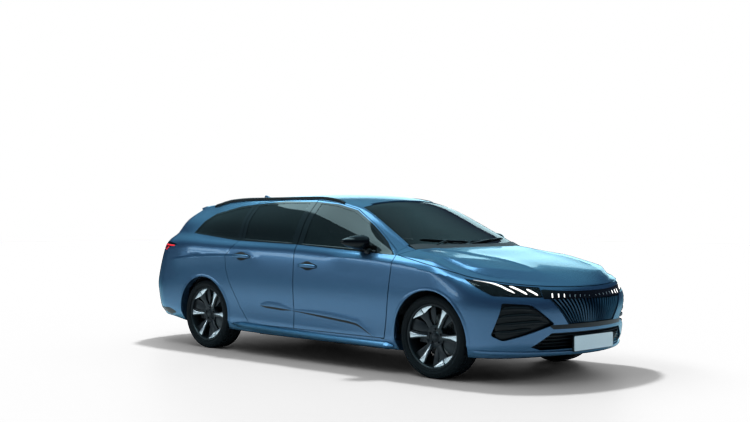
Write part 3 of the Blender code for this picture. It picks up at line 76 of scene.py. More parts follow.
# The camera stands ahead of the car on its right, at standing height, as the photograph's did.
# The lens is moderately long, and a small sideways shift frames the car.
camera = bpy.data.objects.new("camera", bpy.data.cameras.new("camera"))
bpy.context.scene.collection.objects.link(camera)
camera.location = (6.984926, -7.428023, 1.221265)
camera.rotation_euler = (1.5764, 0, 0.8388)
camera.data.lens = 53.807
camera.data.sensor_width = 36
camera.data.shift_x = 0.133333
bpy.context.scene.camera = camera


# A seamless white studio: the camera sees a plain white background, but the car sees a dark horizon under a pale
# dome. Soft lights hang overhead, along the near side and behind the car. A small fill reaches the nose, and a hard
# key from high up draws the shadow.
def set_inputs(tree, node, values):
    """Sets a node's inputs by name, and links those whose value is another node's output."""
    for name, value in values.items():
        if isinstance(value, bpy.types.NodeSocket):
            tree.links.new(value, node.inputs[name])
        else:
            node.inputs[name].default_value = value
    return node


def add_node(tree, kind, values=None):
    return set_inputs(tree, tree.nodes.new("ShaderNode" + kind), values or {})


def add_ramp(tree, factor, stops):
    """A colour ramp through stops of (position, colour)."""
    node = add_node(tree, "ValToRGB", {"Fac": factor})
    elements = node.color_ramp.elements
    elements[0].position, elements[1].position = stops[0][0], stops[-1][0]
    for position, _ in stops[1:-1]:
        elements.new(position)
    for element, (_, colour) in zip(elements, stops):
        element.color = (*colour, 1)
    return node.outputs["Color"]


world = bpy.data.worlds.new("studio")
world.use_nodes = True
tree = world.node_tree
direction = add_node(tree, "TexCoord").outputs["Generated"]
height = add_node(tree, "SeparateXYZ", {"Vector": direction}).outputs["Z"]
dome = add_ramp(tree, height, (
    (0.0, (0.10, 0.13, 0.18)), (0.10, (0.05, 0.07, 0.12)), (0.38, (0.05, 0.08, 0.15)), (0.58, (0.32, 0.66, 0.78)),
    (0.9, (0.32, 0.62, 0.74)),
))
lit = add_node(tree, "Background", {"Color": dome, "Strength": 0.9})
seen = set_inputs(tree, tree.nodes["Background"], {"Color": (1, 1, 1, 1), "Strength": 1.0})
to_camera = add_node(tree, "LightPath").outputs["Is Camera Ray"]
choice = add_node(tree, "MixShader", {"Fac": to_camera, 1: lit.outputs["Background"], 2: seen.outputs["Background"]})
set_inputs(tree, tree.nodes["World Output"], {"Surface": choice.outputs["Shader"]})
bpy.context.scene.world = world
bpy.context.scene.view_settings.view_transform = "Standard"

# Each light: its name, place, aim, size, power and colour, and whether it shows as a reflection
LIGHTS = (
    ("overhead", (-1.2, -1.5, 4.6), (-0.4, -0.4, 0.5), (7.5, 1.7), 210, (0.62, 0.93, 1.0), True),
    ("side_box", (-6.4, -8.0, 2.35), (-0.6, -0.8, 0.8), (6.5, 0.7), 75, (0.80, 0.96, 1.0), True),
    ("far_wall", (-4.6, 6.2, 2.6), (0.4, 0, 0.7), (9.0, 3.0), 200, (0.62, 0.93, 1.0), True),
    ("front_fill", (6.6, 2.6, 3.0), (1.7, 0, 0.7), (3.0, 1.6), 60, (0.90, 0.97, 1.0), False),
    ("shadow_key", (-1.7, 1.3, 7.0), (0.2, 0, 0.3), (0.7, 0.7), 820, (1.0, 1.0, 1.0), False),
)
for name, place, aim, size, power, colour, mirrored in LIGHTS:
    lamp = bpy.data.lights.new(name, "AREA")
    lamp.shape = "RECTANGLE"
    lamp.size, lamp.size_y = size
    lamp.energy = power
    lamp.color = colour
    light = bpy.data.objects.new(name, lamp)
    light.location = place
    light.rotation_euler = (Vector(aim) - Vector(place)).to_track_quat("-Z", "Y").to_euler()
    light.visible_glossy = mirrored
    bpy.context.scene.collection.objects.link(light)


def new_material(name, colour, roughness=0.5, metallic=0.0, more=None):
    """A Principled material, with further inputs where asked."""
    material = bpy.data.materials.new(name)
    material.use_nodes = True
    values = {"Base Color": (*colour, 1), "Roughness": roughness, "Metallic": metallic, **(more or {})}
    set_inputs(material.node_tree, material.node_tree.nodes["Principled BSDF"], values)
    return material


def add_range(tree, factor, lowest, highest):
    """A factor from 0 to 1, spread between two values."""
    return add_node(tree, "MapRange", {"Value": factor, "To Min": lowest, "To Max": highest}).outputs["Result"]


def add_bump(tree, height, strength, distance):
    return add_node(tree, "Bump", {"Height": height, "Strength": strength, "Distance": distance}).outputs["Normal"]


def grained(material, scale, colours, roughness=None, bump=0.0):
    """Varies a material's colour, and its roughness and height where asked, with one noise on object coordinates."""
    tree = material.node_tree
    place = add_node(tree, "TexCoord").outputs["Object"]
    noise = add_node(tree, "TexNoise", {"Vector": place, "Scale": scale, "Detail": 4.0}).outputs["Fac"]
    values = {"Base Color": add_ramp(tree, noise, ((0.35, colours[0]), (0.68, colours[1])))}
    if roughness:
        values["Roughness"] = add_range(tree, noise, *roughness)
    if bump:
        values["Normal"] = add_bump(tree, noise, bump, 0.002)
    set_inputs(tree, tree.nodes["Principled BSDF"], values)
    return material


def placed(bm, name, material, smooth=0):
    """Makes the mesh an object at the origin, shaded smooth up to an angle in degrees."""
    mesh = bpy.data.meshes.new(name)
    bm.to_mesh(mesh)
    bm.free()
    mesh.materials.append(material)
    if smooth:
        mesh.shade_smooth()
        mesh.set_sharp_from_angle(angle=math.radians(smooth))
    thing = bpy.data.objects.new(name, mesh)
    bpy.context.scene.collection.objects.link(thing)
    return thing


bm = bmesh.new()
bmesh.ops.create_grid(bm, x_segments=2, y_segments=2, size=40)
floor_material = new_material("studio_floor", (0.50, 0.505, 0.51), 0.55)
grained(floor_material, 0.8, ((0.48, 0.485, 0.49), (0.52, 0.525, 0.53)))
floor = placed(bm, "studio_floor", floor_material)
floor.is_shadow_catcher = True

# The roof panel: pressed steel in the body colour, seamed to the cant rails.
# Every painted panel is cut from one smooth skin that runs through the same feature lines as the solids do, so
# highlights flow from panel to panel. The skin, the paint and the cutters are made here for all of them.
LENGTH, WIDTH, HEIGHT, WHEELBASE, FRONT_OVERHANG, TRACK = 4.636, 1.852, 1.442, 2.732, 0.853, 1.556
REAR_OVERHANG = LENGTH - WHEELBASE - FRONT_OVERHANG
FRONT_AXLE_X = LENGTH / 2 - FRONT_OVERHANG
REAR_AXLE_X = FRONT_AXLE_X - WHEELBASE
HALF_WIDTH = WIDTH / 2
TYRE_RADIUS = 0.2205 * HEIGHT
ARCH_RADIUS, STEER_RADIUS = TYRE_RADIUS + 0.034, TYRE_RADIUS + 0.080
SHUT_GAP, SEAM = 0.0055, 0.0006
REACH, TALL, FAR = HALF_WIDTH + 0.3, HEIGHT + 0.3, LENGTH / 2 + 0.3
BELOW_GROUND = -0.3
WELD, PANEL_WELD = 0.00002, 0.00003

# Nine feature lines from the floor up, in shares of the car's sizes, with heights and widths at ten stations along it
STATION_SHARES = (2.0, 1.334, 0.874, 0.811, 0.617, 0.44, 0.13, -0.2, -0.55, -1.0)
RING_SHARES = (
    # front reach, rear reach, front corner, rear corner, out share, up share, height shares, width shares
    (1.862, -0.793, 1.299, -0.507, 0.3, -1.0,
     (0.139, 0.118, 0.118, 0.118, 0.118, 0.118, 0.118, 0.132, 0.166, 0.208),
     (0.756, 0.756, 0.756, 0.756, 0.756, 0.756, 0.756, 0.756, 0.756, 0.756)),
    (1.944, -0.907, 1.322, -0.564, 0.6, -1.0,
     (0.149, 0.132, 0.132, 0.132, 0.132, 0.132, 0.139, 0.153, 0.187, 0.212),
     (0.929, 0.929, 0.944, 0.945, 0.945, 0.945, 0.940, 0.929, 0.918, 0.907)),
    (1.973, -0.954, 1.334, -0.574, 1.0, -0.7,
     (0.208, 0.187, 0.184, 0.184, 0.184, 0.187, 0.194, 0.215, 0.250, 0.264),
     (0.972, 0.972, 0.977, 0.977, 0.977, 0.977, 0.977, 0.977, 0.972, 0.950)),
    (1.993, -0.983, 1.334, -0.574, 1.0, -0.25,
     (0.298, 0.291, 0.277, 0.277, 0.277, 0.284, 0.298, 0.319, 0.333, 0.340),
     (0.988, 0.991, 0.979, 0.977, 0.972, 0.972, 0.977, 0.994, 0.988, 0.972)),
    (2.0, -1.0, 1.334, -0.574, 1.0, 0.0,
     (0.388, 0.416, 0.430, 0.430, 0.430, 0.437, 0.444, 0.451, 0.444, 0.430),
     (0.994, 1.000, 0.992, 0.991, 0.988, 0.988, 0.994, 1.000, 0.988, 0.960)),
    (1.961, -0.875, 1.322, -0.530, 1.0, 0.3,
     (0.461, 0.517, 0.588, 0.596, 0.614, 0.628, 0.645, 0.659, 0.659, 0.638),
     (0.929, 0.967, 0.974, 0.974, 0.972, 0.972, 0.981, 0.985, 0.950, 0.890)),
    (1.941, -0.765, 1.311, -0.465, 0.95, 0.5,
     (0.485, 0.555, 0.639, 0.648, 0.669, 0.687, 0.704, 0.735, 0.742, 0.714),
     (0.864, 0.896, 0.930, 0.931, 0.931, 0.931, 0.923, 0.902, 0.835, 0.760)),
    (1.934, -0.664, 1.299, -0.405, 0.8, 0.55,
     (0.490, 0.562, 0.652, 0.690, 0.791, 0.836, 0.843, 0.832, 0.832, 0.832),
     (0.832, 0.864, 0.872, 0.868, 0.815, 0.815, 0.810, 0.797, 0.757, 0.715)),
    (1.92, -0.545, 1.275, -0.345, 0.5, 0.7,
     (0.498, 0.572, 0.668, 0.728, 0.905, 0.960, 0.960, 0.929, 0.905, 0.895),
     (0.799, 0.821, 0.775, 0.742, 0.637, 0.643, 0.637, 0.616, 0.589, 0.562)),
)
CREASED_RINGS = (1, 2, 6, 8)
CENTRE_LINE_SHARES = (
    (1.920, 0.498), (1.891, 0.531), (1.768, 0.569), (1.510, 0.610), (1.158, 0.645), (0.918, 0.683), (0.811, 0.787),
    (0.720, 0.877), (0.639, 0.950), (0.537, 0.978), (0.354, 0.990), (0.134, 0.983), (-0.174, 0.954), (-0.545, 0.919),
)
COWL_SHARES = (0.874, 0.918)
HEADER_SHARES = (0.617, 0.639)
CORNER_POWER = 2.15
ROWS_PER_BAND = (2, 2, 3, 5, 6, 5, 7, 6)
END_COLUMNS = 12
ZONE_STEPS = (16, 12, 26)


def along(share):
    """The x of a share along the car: 2 is the nose, 1 the front axle, 0 the rear axle and -1 the tail."""
    if share > 1:
        return FRONT_AXLE_X + (share - 1) * FRONT_OVERHANG
    return REAR_AXLE_X + share * (REAR_OVERHANG if share < 0 else WHEELBASE)


def share_at(x):
    if x > FRONT_AXLE_X:
        return 1 + (x - FRONT_AXLE_X) / FRONT_OVERHANG
    return (x - REAR_AXLE_X) / (REAR_OVERHANG if x < REAR_AXLE_X else WHEELBASE)


def up(share):
    return share * HEIGHT


def across(share):
    return share * HALF_WIDTH


def smooth(places, values, place):
    """A smooth curve through the values that never swings past them."""
    pairs = sorted(zip(places, values))
    p, v = [pair[0] for pair in pairs], [pair[1] for pair in pairs]
    if place <= p[0]:
        return v[0]
    if place >= p[-1]:
        return v[-1]
    slopes = [(v[k + 1] - v[k]) / (p[k + 1] - p[k]) for k in range(len(p) - 1)]
    tangents = [2 * a * b / (a + b) if a * b > 0 else 0.0 for a, b in zip(slopes, slopes[1:])]
    tangents = [slopes[0], *tangents, slopes[-1]]
    k = max(i for i in range(len(p) - 1) if p[i] <= place)
    span = p[k + 1] - p[k]
    t = (place - p[k]) / span
    start, stop = v[k] * (1 + 2 * t) * (1 - t) ** 2, v[k + 1] * t * t * (3 - 2 * t)
    return start + tangents[k] * span * t * (1 - t) ** 2 + stop + tangents[k + 1] * span * t * t * (t - 1)


def side_places(front, rear, knots):
    ends = (front, along(knots[0]), along(knots[1]), rear)
    places = [front]
    for steps, start, stop in zip(ZONE_STEPS, ends, ends[1:]):
        places += [start + (stop - start) * (k + 1) / steps for k in range(steps)]
    return places


def end_shares():
    angles = [math.pi / 2 * k / END_COLUMNS for k in range(END_COLUMNS + 1)]
    return [(math.sin(a) ** (2 / CORNER_POWER), max(math.cos(a), 0) ** (2 / CORNER_POWER)) for a in angles]


def ring_points(ring, inset):
    """One feature line, from the nose round the left side to the tail."""
    front_reach, rear_reach, front_corner, rear_corner, out, rise, heights, widths = ring
    front, rear = along(front_corner), along(rear_corner)
    reach_ahead, reach_behind = along(front_reach), along(rear_reach)
    columns = []
    for w, b in end_shares():
        columns.append((front + (reach_ahead - front) * b, front + (reach_ahead - inset - front) * b, w))
    columns += [(x, x, 1.0) for x in side_places(front, rear, (COWL_SHARES[0], HEADER_SHARES[0]))[1:-1]]
    for w, b in end_shares()[::-1]:
        columns.append((rear + (reach_behind - rear) * b, rear + (reach_behind + inset - rear) * b, w))
    points = []
    for x_outer, x, wide in columns:
        share = share_at(x_outer)
        corner_share = min(max(share, rear_corner), front_corner)
        half = across(smooth(STATION_SHARES, widths, corner_share)) - inset * out
        points.append(Vector((x, half * wide, up(smooth(STATION_SHARES, heights, share)) - inset * rise)))
    return points


def band_rows(inset):
    """The side's rows from the floor up: smooth curves through the feature lines that break at the creases."""
    rings = [ring_points(ring, inset) for ring in RING_SHARES]
    rows = []
    for k, count in enumerate(ROWS_PER_BAND):
        for step in range(count):
            t = step / count
            row = []
            for c, (a, b) in enumerate(zip(rings[k], rings[k + 1])):
                start = b - a if k in CREASED_RINGS or k == 0 else (b - rings[k - 1][c]) / 2
                stop = b - a if k + 1 in CREASED_RINGS or k + 2 == len(rings) else (rings[k + 2][c] - a) / 2
                point = a * ((1 + 2 * t) * (1 - t) ** 2) + start * (t * (1 - t) ** 2)
                row.append(point + b * (t * t * (3 - 2 * t)) + stop * (t * t * (t - 1)))
            rows.append(row)
    return rows + [rings[-1]]


def top_rows(edge, inset):
    """The bonnet, screen and roof, crowned between the two sides' top line."""
    reach = along(RING_SHARES[-1][0]) - inset, along(RING_SHARES[-1][1]) + inset
    centres = side_places(*reach, (COWL_SHARES[1], HEADER_SHARES[1]))
    rows = [edge[: END_COLUMNS + 1]]
    for x, corner in list(zip(centres, edge[END_COLUMNS : len(edge) - END_COLUMNS]))[1:-1]:
        height = up(smooth(*zip(*CENTRE_LINE_SHARES), share_at(x))) - inset
        row = []
        for wide, back in end_shares()[:-1]:
            rise = height + (corner.z - height) * wide**2.2
            row.append(Vector((corner.x + (x - corner.x) * back, corner.y * wide, rise)))
        rows.append(row + [corner])
    return rows + [edge[: -END_COLUMNS - 2 : -1]]


def lay(bm, rows):
    """A grid laid over rows of points."""
    made = bmesh.ops.create_grid(bm, x_segments=len(rows[0]) - 1, y_segments=len(rows) - 1, size=1)["verts"]
    for vert, point in zip(made, [p for row in rows for p in row]):
        vert.co = point


def body_solid(inset, name="core"):
    """The whole skin as one closed solid, moved inwards by inset."""
    bm = bmesh.new()
    rows = band_rows(inset)
    lay(bm, rows)
    lay(bm, top_rows(rows[-1], inset))
    lay(bm, [rows[0], [Vector((p.x, 0, p.z)) for p in rows[0]]])
    bmesh.ops.remove_doubles(bm, verts=bm.verts, dist=WELD)
    bmesh.ops.mirror(bm, geom=bm.verts[:] + bm.edges[:] + bm.faces[:], axis="Y", merge_dist=WELD)
    bmesh.ops.remove_doubles(bm, verts=bm.verts, dist=WELD)
    bmesh.ops.recalc_face_normals(bm, faces=bm.faces)
    bmesh.ops.triangulate(bm, faces=bm.faces)
    return placed(bm, name, paint)


def flake_paint(name, colour, deep_colour):
    """Metallic paint under clear lacquer: its fine flakes vary between two colours and in how they catch light."""
    lacquer = {"Coat Weight": 0.35, "Coat Roughness": 0.05, "Specular Tint": (0.55, 0.92, 1.0, 1)}
    material = new_material(name, colour, 0.3, 0.85, lacquer)
    tree = material.node_tree
    place = add_node(tree, "TexCoord").outputs["Object"]
    flake = add_node(tree, "TexVoronoi", {"Vector": place, "Scale": 1400})
    shade = add_node(tree, "SeparateColor", {"Color": flake.outputs["Color"]}).outputs["Red"]
    mix = tree.nodes.new("ShaderNodeMix")
    mix.data_type = "RGBA"
    set_inputs(tree, mix, {"Factor": shade, "A": (*colour, 1), "B": (*deep_colour, 1)})
    roughness = add_range(tree, flake.outputs["Distance"], 0.22, 0.36)
    set_inputs(tree, tree.nodes["Principled BSDF"], {"Base Color": mix.outputs["Result"], "Roughness": roughness})
    return material


paint = flake_paint("body_paint", (0.100, 0.190, 0.310), (0.056, 0.110, 0.205))
satin_black = new_material("satin_black", (0.004, 0.004, 0.005), 0.32, more={"Specular IOR Level": 0.25})
grained(satin_black, 320, ((0.003, 0.003, 0.004), (0.006, 0.006, 0.007)), (0.28, 0.38))
gloss_black = new_material("gloss_black", (0.003, 0.003, 0.004), 0.08, more={"Specular IOR Level": 0.22})
grained(gloss_black, 90, ((0.002, 0.002, 0.003), (0.004, 0.004, 0.005)), (0.05, 0.11))


def prism(outline, lowest, highest, axis, name="cutter"):
    """A solid with this outline across axis: outlines are (x, z) for Y, (x, y) for Z and (y, z) for X."""
    bm = bmesh.new()
    order = {"Y": lambda a, b, c: (a, c, b), "Z": lambda a, b, c: (a, b, c), "X": lambda a, b, c: (c, a, b)}[axis]
    face = bm.faces.new([bm.verts.new(order(a, b, lowest)) for a, b in outline])
    moved = [v for v in bmesh.ops.extrude_face_region(bm, geom=[face])["geom"] if isinstance(v, bmesh.types.BMVert)]
    bmesh.ops.translate(bm, verts=moved, vec=Vector(order(0, 0, highest - lowest)))
    bmesh.ops.recalc_face_normals(bm, faces=bm.faces)
    return placed(bm, name, paint)


def side_outline(shares):
    return [(along(a), up(b)) for a, b in shares]


def mirrored(half):
    """An outline seen from the front, from its left half."""
    return half + [(-y, z) for y, z in reversed(half) if y > 0]


def front_outline(shares):
    return mirrored([(across(a), up(b)) for a, b in shares])


def plan_outline(shares):
    half = [(along(a), across(b)) for a, b in shares]
    return half + [(x, -y) for x, y in reversed(half) if y > 0]


def grown(outline, by):
    """The outline moved out by a distance along its edges."""
    area = sum(a[0] * b[1] - b[0] * a[1] for a, b in zip(outline, outline[1:] + outline[:1]))
    sense = 1 if area > 0 else -1
    out = []
    for k, point in enumerate(outline):
        before, after, here = Vector(outline[k - 1]), Vector(outline[(k + 1) % len(outline)]), Vector(point)
        one, two = (here - before).normalized(), (after - here).normalized()
        n1, n2 = Vector((one.y, -one.x)) * sense, Vector((two.y, -two.x)) * sense
        out.append(tuple(here + (n1 + n2) * (by / (1 + n1.dot(n2)))))
    return out


def rounded(outline, radius, steps=5):
    """The outline with its corners rounded off."""
    out = []
    for k, point in enumerate(outline):
        before, after, here = Vector(outline[k - 1]), Vector(outline[(k + 1) % len(outline)]), Vector(point)
        reach = min(radius, (before - here).length * 0.45, (after - here).length * 0.45)
        start, stop = here + (before - here).normalized() * reach, here + (after - here).normalized() * reach
        for step in range(steps + 1):
            t = step / steps
            out.append(tuple(start * (1 - t) ** 2 + here * (2 * t * (1 - t)) + stop * t * t))
    return out


def boolean(thing, other, operation, keep=False):
    modifier = thing.modifiers.new("cut", "BOOLEAN")
    modifier.object = other
    modifier.operation = operation
    modifier.solver = "EXACT"
    mesh = bpy.data.meshes.new_from_object(thing.evaluated_get(bpy.context.evaluated_depsgraph_get()))
    thing.modifiers.clear()
    old, thing.data = thing.data, mesh
    bpy.data.meshes.remove(old)
    if not keep:
        bpy.data.objects.remove(other)
    return thing


def cut(thing, other, keep=False):
    return boolean(thing, other, "DIFFERENCE", keep)


def common(thing, other, keep=False):
    return boolean(thing, other, "INTERSECT", keep)


def copy_of(thing, name):
    other = thing.copy()
    other.data = thing.data.copy()
    other.name = name
    bpy.context.scene.collection.objects.link(other)
    return other


def layer(outer, inner, name):
    """The hollow skin between two depths."""
    return cut(body_solid(outer, name), body_solid(inner))


def ordered(one, two):
    """The lowest and the highest corner of the box between two corners."""
    return Vector(list(map(min, one, two))), Vector(list(map(max, one, two)))


def block(one, two, name="block"):
    bm = bmesh.new()
    bmesh.ops.create_cube(bm, size=1)
    low, high = ordered(one, two)
    bmesh.ops.scale(bm, vec=high - low, verts=bm.verts)
    bmesh.ops.translate(bm, vec=(low + high) / 2, verts=bm.verts)
    return placed(bm, name, paint)


def drum(centre, axis, radius, length, sides=96, radius_end=None, name="drum"):
    bm = bmesh.new()
    end = radius if radius_end is None else radius_end
    bmesh.ops.create_cone(bm, cap_ends=True, segments=sides, radius1=radius, radius2=end, depth=length)
    bmesh.ops.rotate(bm, matrix=Vector((0, 0, 1)).rotation_difference(Vector(axis)).to_matrix(), verts=bm.verts)
    bmesh.ops.translate(bm, vec=centre, verts=bm.verts)
    return placed(bm, name, paint)


def skin_lookup(inset):
    """The smooth skin at a depth, ready to be asked for its nearest point and normal."""
    whole = body_solid(inset, "lookup")
    bm = bmesh.new()
    bm.from_mesh(whole.data)
    bm.normal_update()
    points = [v.co.copy() for v in bm.verts]
    normals = [v.normal.copy() for v in bm.verts]
    faces = [[v.index for v in f.verts] for f in bm.faces]
    tree = BVHTree.FromBMesh(bm)
    bm.free()
    bpy.data.objects.remove(whole)
    return tree, points, normals, faces


SKINS = {}


def skin_at(inset):
    if inset not in SKINS:
        SKINS[inset] = skin_lookup(inset)
    return SKINS[inset]


def skin_normal(place, inset):
    """The skin's smoothed normal nearest to a place, and how far away the skin is."""
    tree, points, normals, faces = skin_at(inset)
    near, _, index, away = tree.find_nearest(place)
    corners = faces[index]
    mixed = barycentric_transform(near, *(points[c] for c in corners), *(normals[c] for c in corners))
    return mixed.normalized(), away


# Creases pressed into the sides and the bonnet: the way they are seen, their line, height, reach on the upper or
# outer side and on the other, and the length over which they fade out at their ends
CREASES = (
    ("side", ((-1.90, 0.800), (-1.45, 0.842), (-1.00, 0.862), (-0.45, 0.868)), 0.009, 0.035, 0.12, 0.30),
    ("side", ((0.30, 0.895), (0.70, 0.890), (1.11, 0.866), (1.47, 0.808), (1.84, 0.748)), 0.007, 0.05, 0.14, 0.25),
    ("top", ((1.10, 0.575), (1.62, 0.435), (2.17, 0.385)), 0.009, 0.05, 0.17, 0.20),
)


def relief(place, out):
    """How far the creases raise the skin at a place, and how steeply."""
    total, slope = 0.0, Vector()
    for view, line, height, above, below, fade in CREASES:
        axis, facing = (2, abs(out.y)) if view == "side" else (1, out.z)
        places, levels = zip(*line)
        if facing < 0.45 or not places[0] < place.x < places[-1]:
            continue
        away = abs(place[axis]) - smooth(places, levels, place.x)
        reach = above if away > 0 else below
        if abs(away) >= reach:
            continue
        ends = min(1.0, (place.x - places[0]) / fade, (places[-1] - place.x) / fade)
        height *= ends * ends * (3 - 2 * ends)
        fall = 1 - abs(away) / reach
        total += height * fall * fall
        slope[axis] -= math.copysign(2 * height * fall / reach, away * place[axis])
    return total, slope


def press(bm):
    """Splits a panel's outer face finely enough near the creases, and raises it there."""
    for limit in (0.09, 0.045, 0.024, 0.014):
        long = []
        for edge in bm.edges:
            middle = (edge.verts[0].co + edge.verts[1].co) / 2
            if edge.calc_length() < limit:
                continue
            out, away = skin_normal(middle, 0)
            if away < 0.003 and relief(middle, out)[0] > (0.0002 if limit > 0.03 else 0.003):
                long.append(edge)
        bmesh.ops.subdivide_edges(bm, edges=long, cuts=1)
        bmesh.ops.triangulate(bm, faces=bm.faces)
    shaded = {}
    for vert in bm.verts:
        out, away = skin_normal(vert.co, 0)
        if away < 0.001:
            height, slope = relief(vert.co, out)
            shaded[vert.index] = (out - slope + out * out.dot(slope)).normalized()
            vert.co += out * height
    return shaded


def finish_panel(thing, material, body, nodes=(), inset=0.0):
    """Welds a cut panel, presses its creases, shades its outer face like the smooth skin, and rides it."""
    bm = bmesh.new()
    bm.from_mesh(thing.data)
    bmesh.ops.triangulate(bm, faces=bm.faces)
    bmesh.ops.remove_doubles(bm, verts=bm.verts, dist=PANEL_WELD)
    bmesh.ops.dissolve_degenerate(bm, edges=bm.edges, dist=PANEL_WELD)
    bm.verts.index_update()
    bm.normal_update()
    if inset == 0:
        shaded = press(bm)
        bm.verts.index_update()
    else:
        shaded = {}
        for vert in bm.verts:
            out, away = skin_normal(vert.co, inset)
            if away < 0.001:
                shaded[vert.index] = out
    for vert in bm.verts:
        vert.co.x = min(max(vert.co.x, cad_box[0][0]), cad_box[1][0])
    bm.to_mesh(thing.data)
    bm.free()
    mesh = thing.data
    mesh.shade_smooth()
    normals = []
    for face in mesh.polygons:
        flat = face.normal.copy()
        for corner in face.vertices:
            out = shaded.get(corner)
            normals.append(out if out and out.dot(flat) > 0.75 else flat)
    mesh.normals_split_custom_set(normals)
    mesh.materials.clear()
    mesh.materials.append(material)
    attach(thing, body)
    if nodes:
        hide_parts(*nodes)
    return thing


def other_side(thing, name):
    """The same piece, mirrored to the car's right."""
    twin = copy_of(thing, name)
    bm = bmesh.new()
    bm.from_mesh(twin.data)
    bmesh.ops.scale(bm, vec=(1, -1, 1), verts=bm.verts)
    bmesh.ops.reverse_faces(bm, faces=bm.faces)
    bm.to_mesh(twin.data)
    bm.free()
    return twin


def finish_both(thing, material, body, nodes=(), inset=0.0):
    """Finishes a left panel and its twin on the right."""
    twin = other_side(thing, thing.name.replace("left", "right"))
    finish_panel(thing, material, body, nodes, inset)
    twin_nodes = [node.replace("left", "right") for node in nodes]
    finish_panel(twin, material, body.replace("left", "right"), twin_nodes, inset)


# Outlines on the side, the front and the plan, in shares of the car's own sizes
FRONT_DOOR_SHARES = (
    (0.830, 0.190), (0.846, 0.381), (0.857, 0.555), (0.862, 0.639), (0.846, 0.665), (0.801, 0.713), (0.716, 0.805),
    (0.625, 0.893), (0.544, 0.930), (0.4515, 0.948), (0.4515, 0.190),
)
REAR_DOOR_SHARES = (
    (0.4485, 0.190), (0.4485, 0.950), (0.299, 0.954), (0.167, 0.936), (0.165, 0.818), (0.175, 0.714), (0.120, 0.603),
    (0.123, 0.520), (0.138, 0.451), (0.189, 0.291), (0.237, 0.190),
)
WINDOW_FRAME_SHARES = (
    (0.91, 0.575), (0.86, 0.590), (0.79, 0.640), (0.44, 0.676), (0.10, 0.690), (0.10, 1.05), (0.91, 1.05),
)
FRONT_GLASS_SHARES = (
    (0.475, 0.692), (0.779, 0.664), (0.793, 0.707), (0.705, 0.801), (0.619, 0.879), (0.541, 0.914), (0.475, 0.929),
)
REAR_GLASS_SHARES = ((0.422, 0.697), (0.422, 0.933), (0.299, 0.934), (0.184, 0.919), (0.182, 0.818), (0.191, 0.716))
QUARTER_GLASS_SHARES = (
    (0.154, 0.714), (0.147, 0.818), (0.149, 0.914), (0.087, 0.902), (-0.060, 0.856), (-0.155, 0.808), (-0.212, 0.752),
)
FRONT_OPENING_SHARES = (
    (0.808, 0.250), (0.826, 0.430), (0.833, 0.596), (0.815, 0.645), (0.691, 0.791), (0.617, 0.860), (0.537, 0.895),
    (0.486, 0.902), (0.486, 0.250),
)
REAR_OPENING_SHARES = (
    (0.423, 0.250), (0.423, 0.902), (0.299, 0.912), (0.193, 0.898), (0.193, 0.714), (0.156, 0.596), (0.156, 0.485),
    (0.222, 0.291), (0.244, 0.250),
)
BONNET_LINE_SHARES = ((0.793, 0.662), (0.866, 0.645), (1.006, 0.595), (1.346, 0.548), (1.510, 0.531), (1.960, 0.488))
HEADLAMP_SHARES = ((1.363, 0.533), (1.510, 0.523), (1.970, 0.479), (1.970, 0.437), (1.627, 0.450))
TAIL_LAMP_SHARES = ((-0.412, 0.667), (-0.555, 0.683), (-1.05, 0.683), (-1.05, 0.614), (-0.650, 0.628))
BUMPER_REAR_SHARES = ((-0.36, 0.36), (-0.66, 0.414))
GRILLE_SHARES = ((0.0, 0.458), (0.545, 0.458), (0.324, 0.300), (0.0, 0.300))
SIDE_INTAKE_SHARES = ((0.864, 0.416), (0.670, 0.406), (0.464, 0.305), (0.594, 0.277), (0.842, 0.222), (0.907, 0.250))
LOWER_INTAKE_SHARES = ((0.0, 0.260), (0.486, 0.260), (0.648, 0.191), (0.562, 0.173), (0.0, 0.173))
TAILGATE_SHARES = (
    (0.0, 1.1), (0.529, 1.1), (0.540, 0.902), (0.635, 0.735), (0.630, 0.624), (0.572, 0.416), (0.0, 0.416),
)
TAILGATE_GLASS_SHARES = ((0.0, 0.891), (0.455, 0.891), (0.572, 0.745), (0.0, 0.745))
WINDSCREEN_SHARES = (
    (0.905, 0.0), (0.903, 0.24), (0.890, 0.48), (0.858, 0.735), (0.632, 0.608), (0.648, 0.29), (0.652, 0.0),
)
ROOF_SHARES = ((0.640, 0.0), (0.636, 0.29), (0.620, 0.590), (-0.3025, 0.575), (-0.3025, 0.0))
BONNET_REAR_SHARES = ((0.935, 0.0), (0.932, 0.24), (0.918, 0.48), (0.886, 0.745), (0.860, 1.02))
BUMPER_FRONT_SHARES = ((1.363, 0.60), (1.363, 0.533), (1.30, 0.42), (1.20, 0.30))
WING_REAR_SHARES = (
    (0.8545, 0.700), (0.8545, 0.660), (0.8645, 0.642), (0.8600, 0.555), (0.8490, 0.381), (0.8330, 0.1845),
)
TAIL_BAR_SHARES = ((0.0, 0.682), (0.70, 0.682), (0.70, 0.615), (0.0, 0.615))
# The windows' outer line on the side: along share, height share
DLO_SHARES = (
    (0.851, 0.644), (0.801, 0.708), (0.716, 0.799), (0.625, 0.886), (0.544, 0.922), (0.451, 0.938), (0.299, 0.944),
    (0.167, 0.928), (0.087, 0.914), (-0.065, 0.868), (-0.165, 0.820), (-0.235, 0.745), (0.154, 0.703), (0.44, 0.688),
)

# How far in from the side the doors reach, where cutters for one side begin, and where the tailgate begins
DOOR_INNER, FLANK = across(0.62), across(0.5)
GATE_X, GATE_GLASS_X, GATE_BAR_X = along(-0.3025), along(-0.31), along(-0.5)

thin_skin = layer(0, 0.012, "thin_skin")
roof = common(copy_of(thin_skin, "roof"), prism(plan_outline(ROOF_SHARES), up(0.8), TALL, "Z"))
finish_panel(roof, paint, "root", ("roof_panel",))

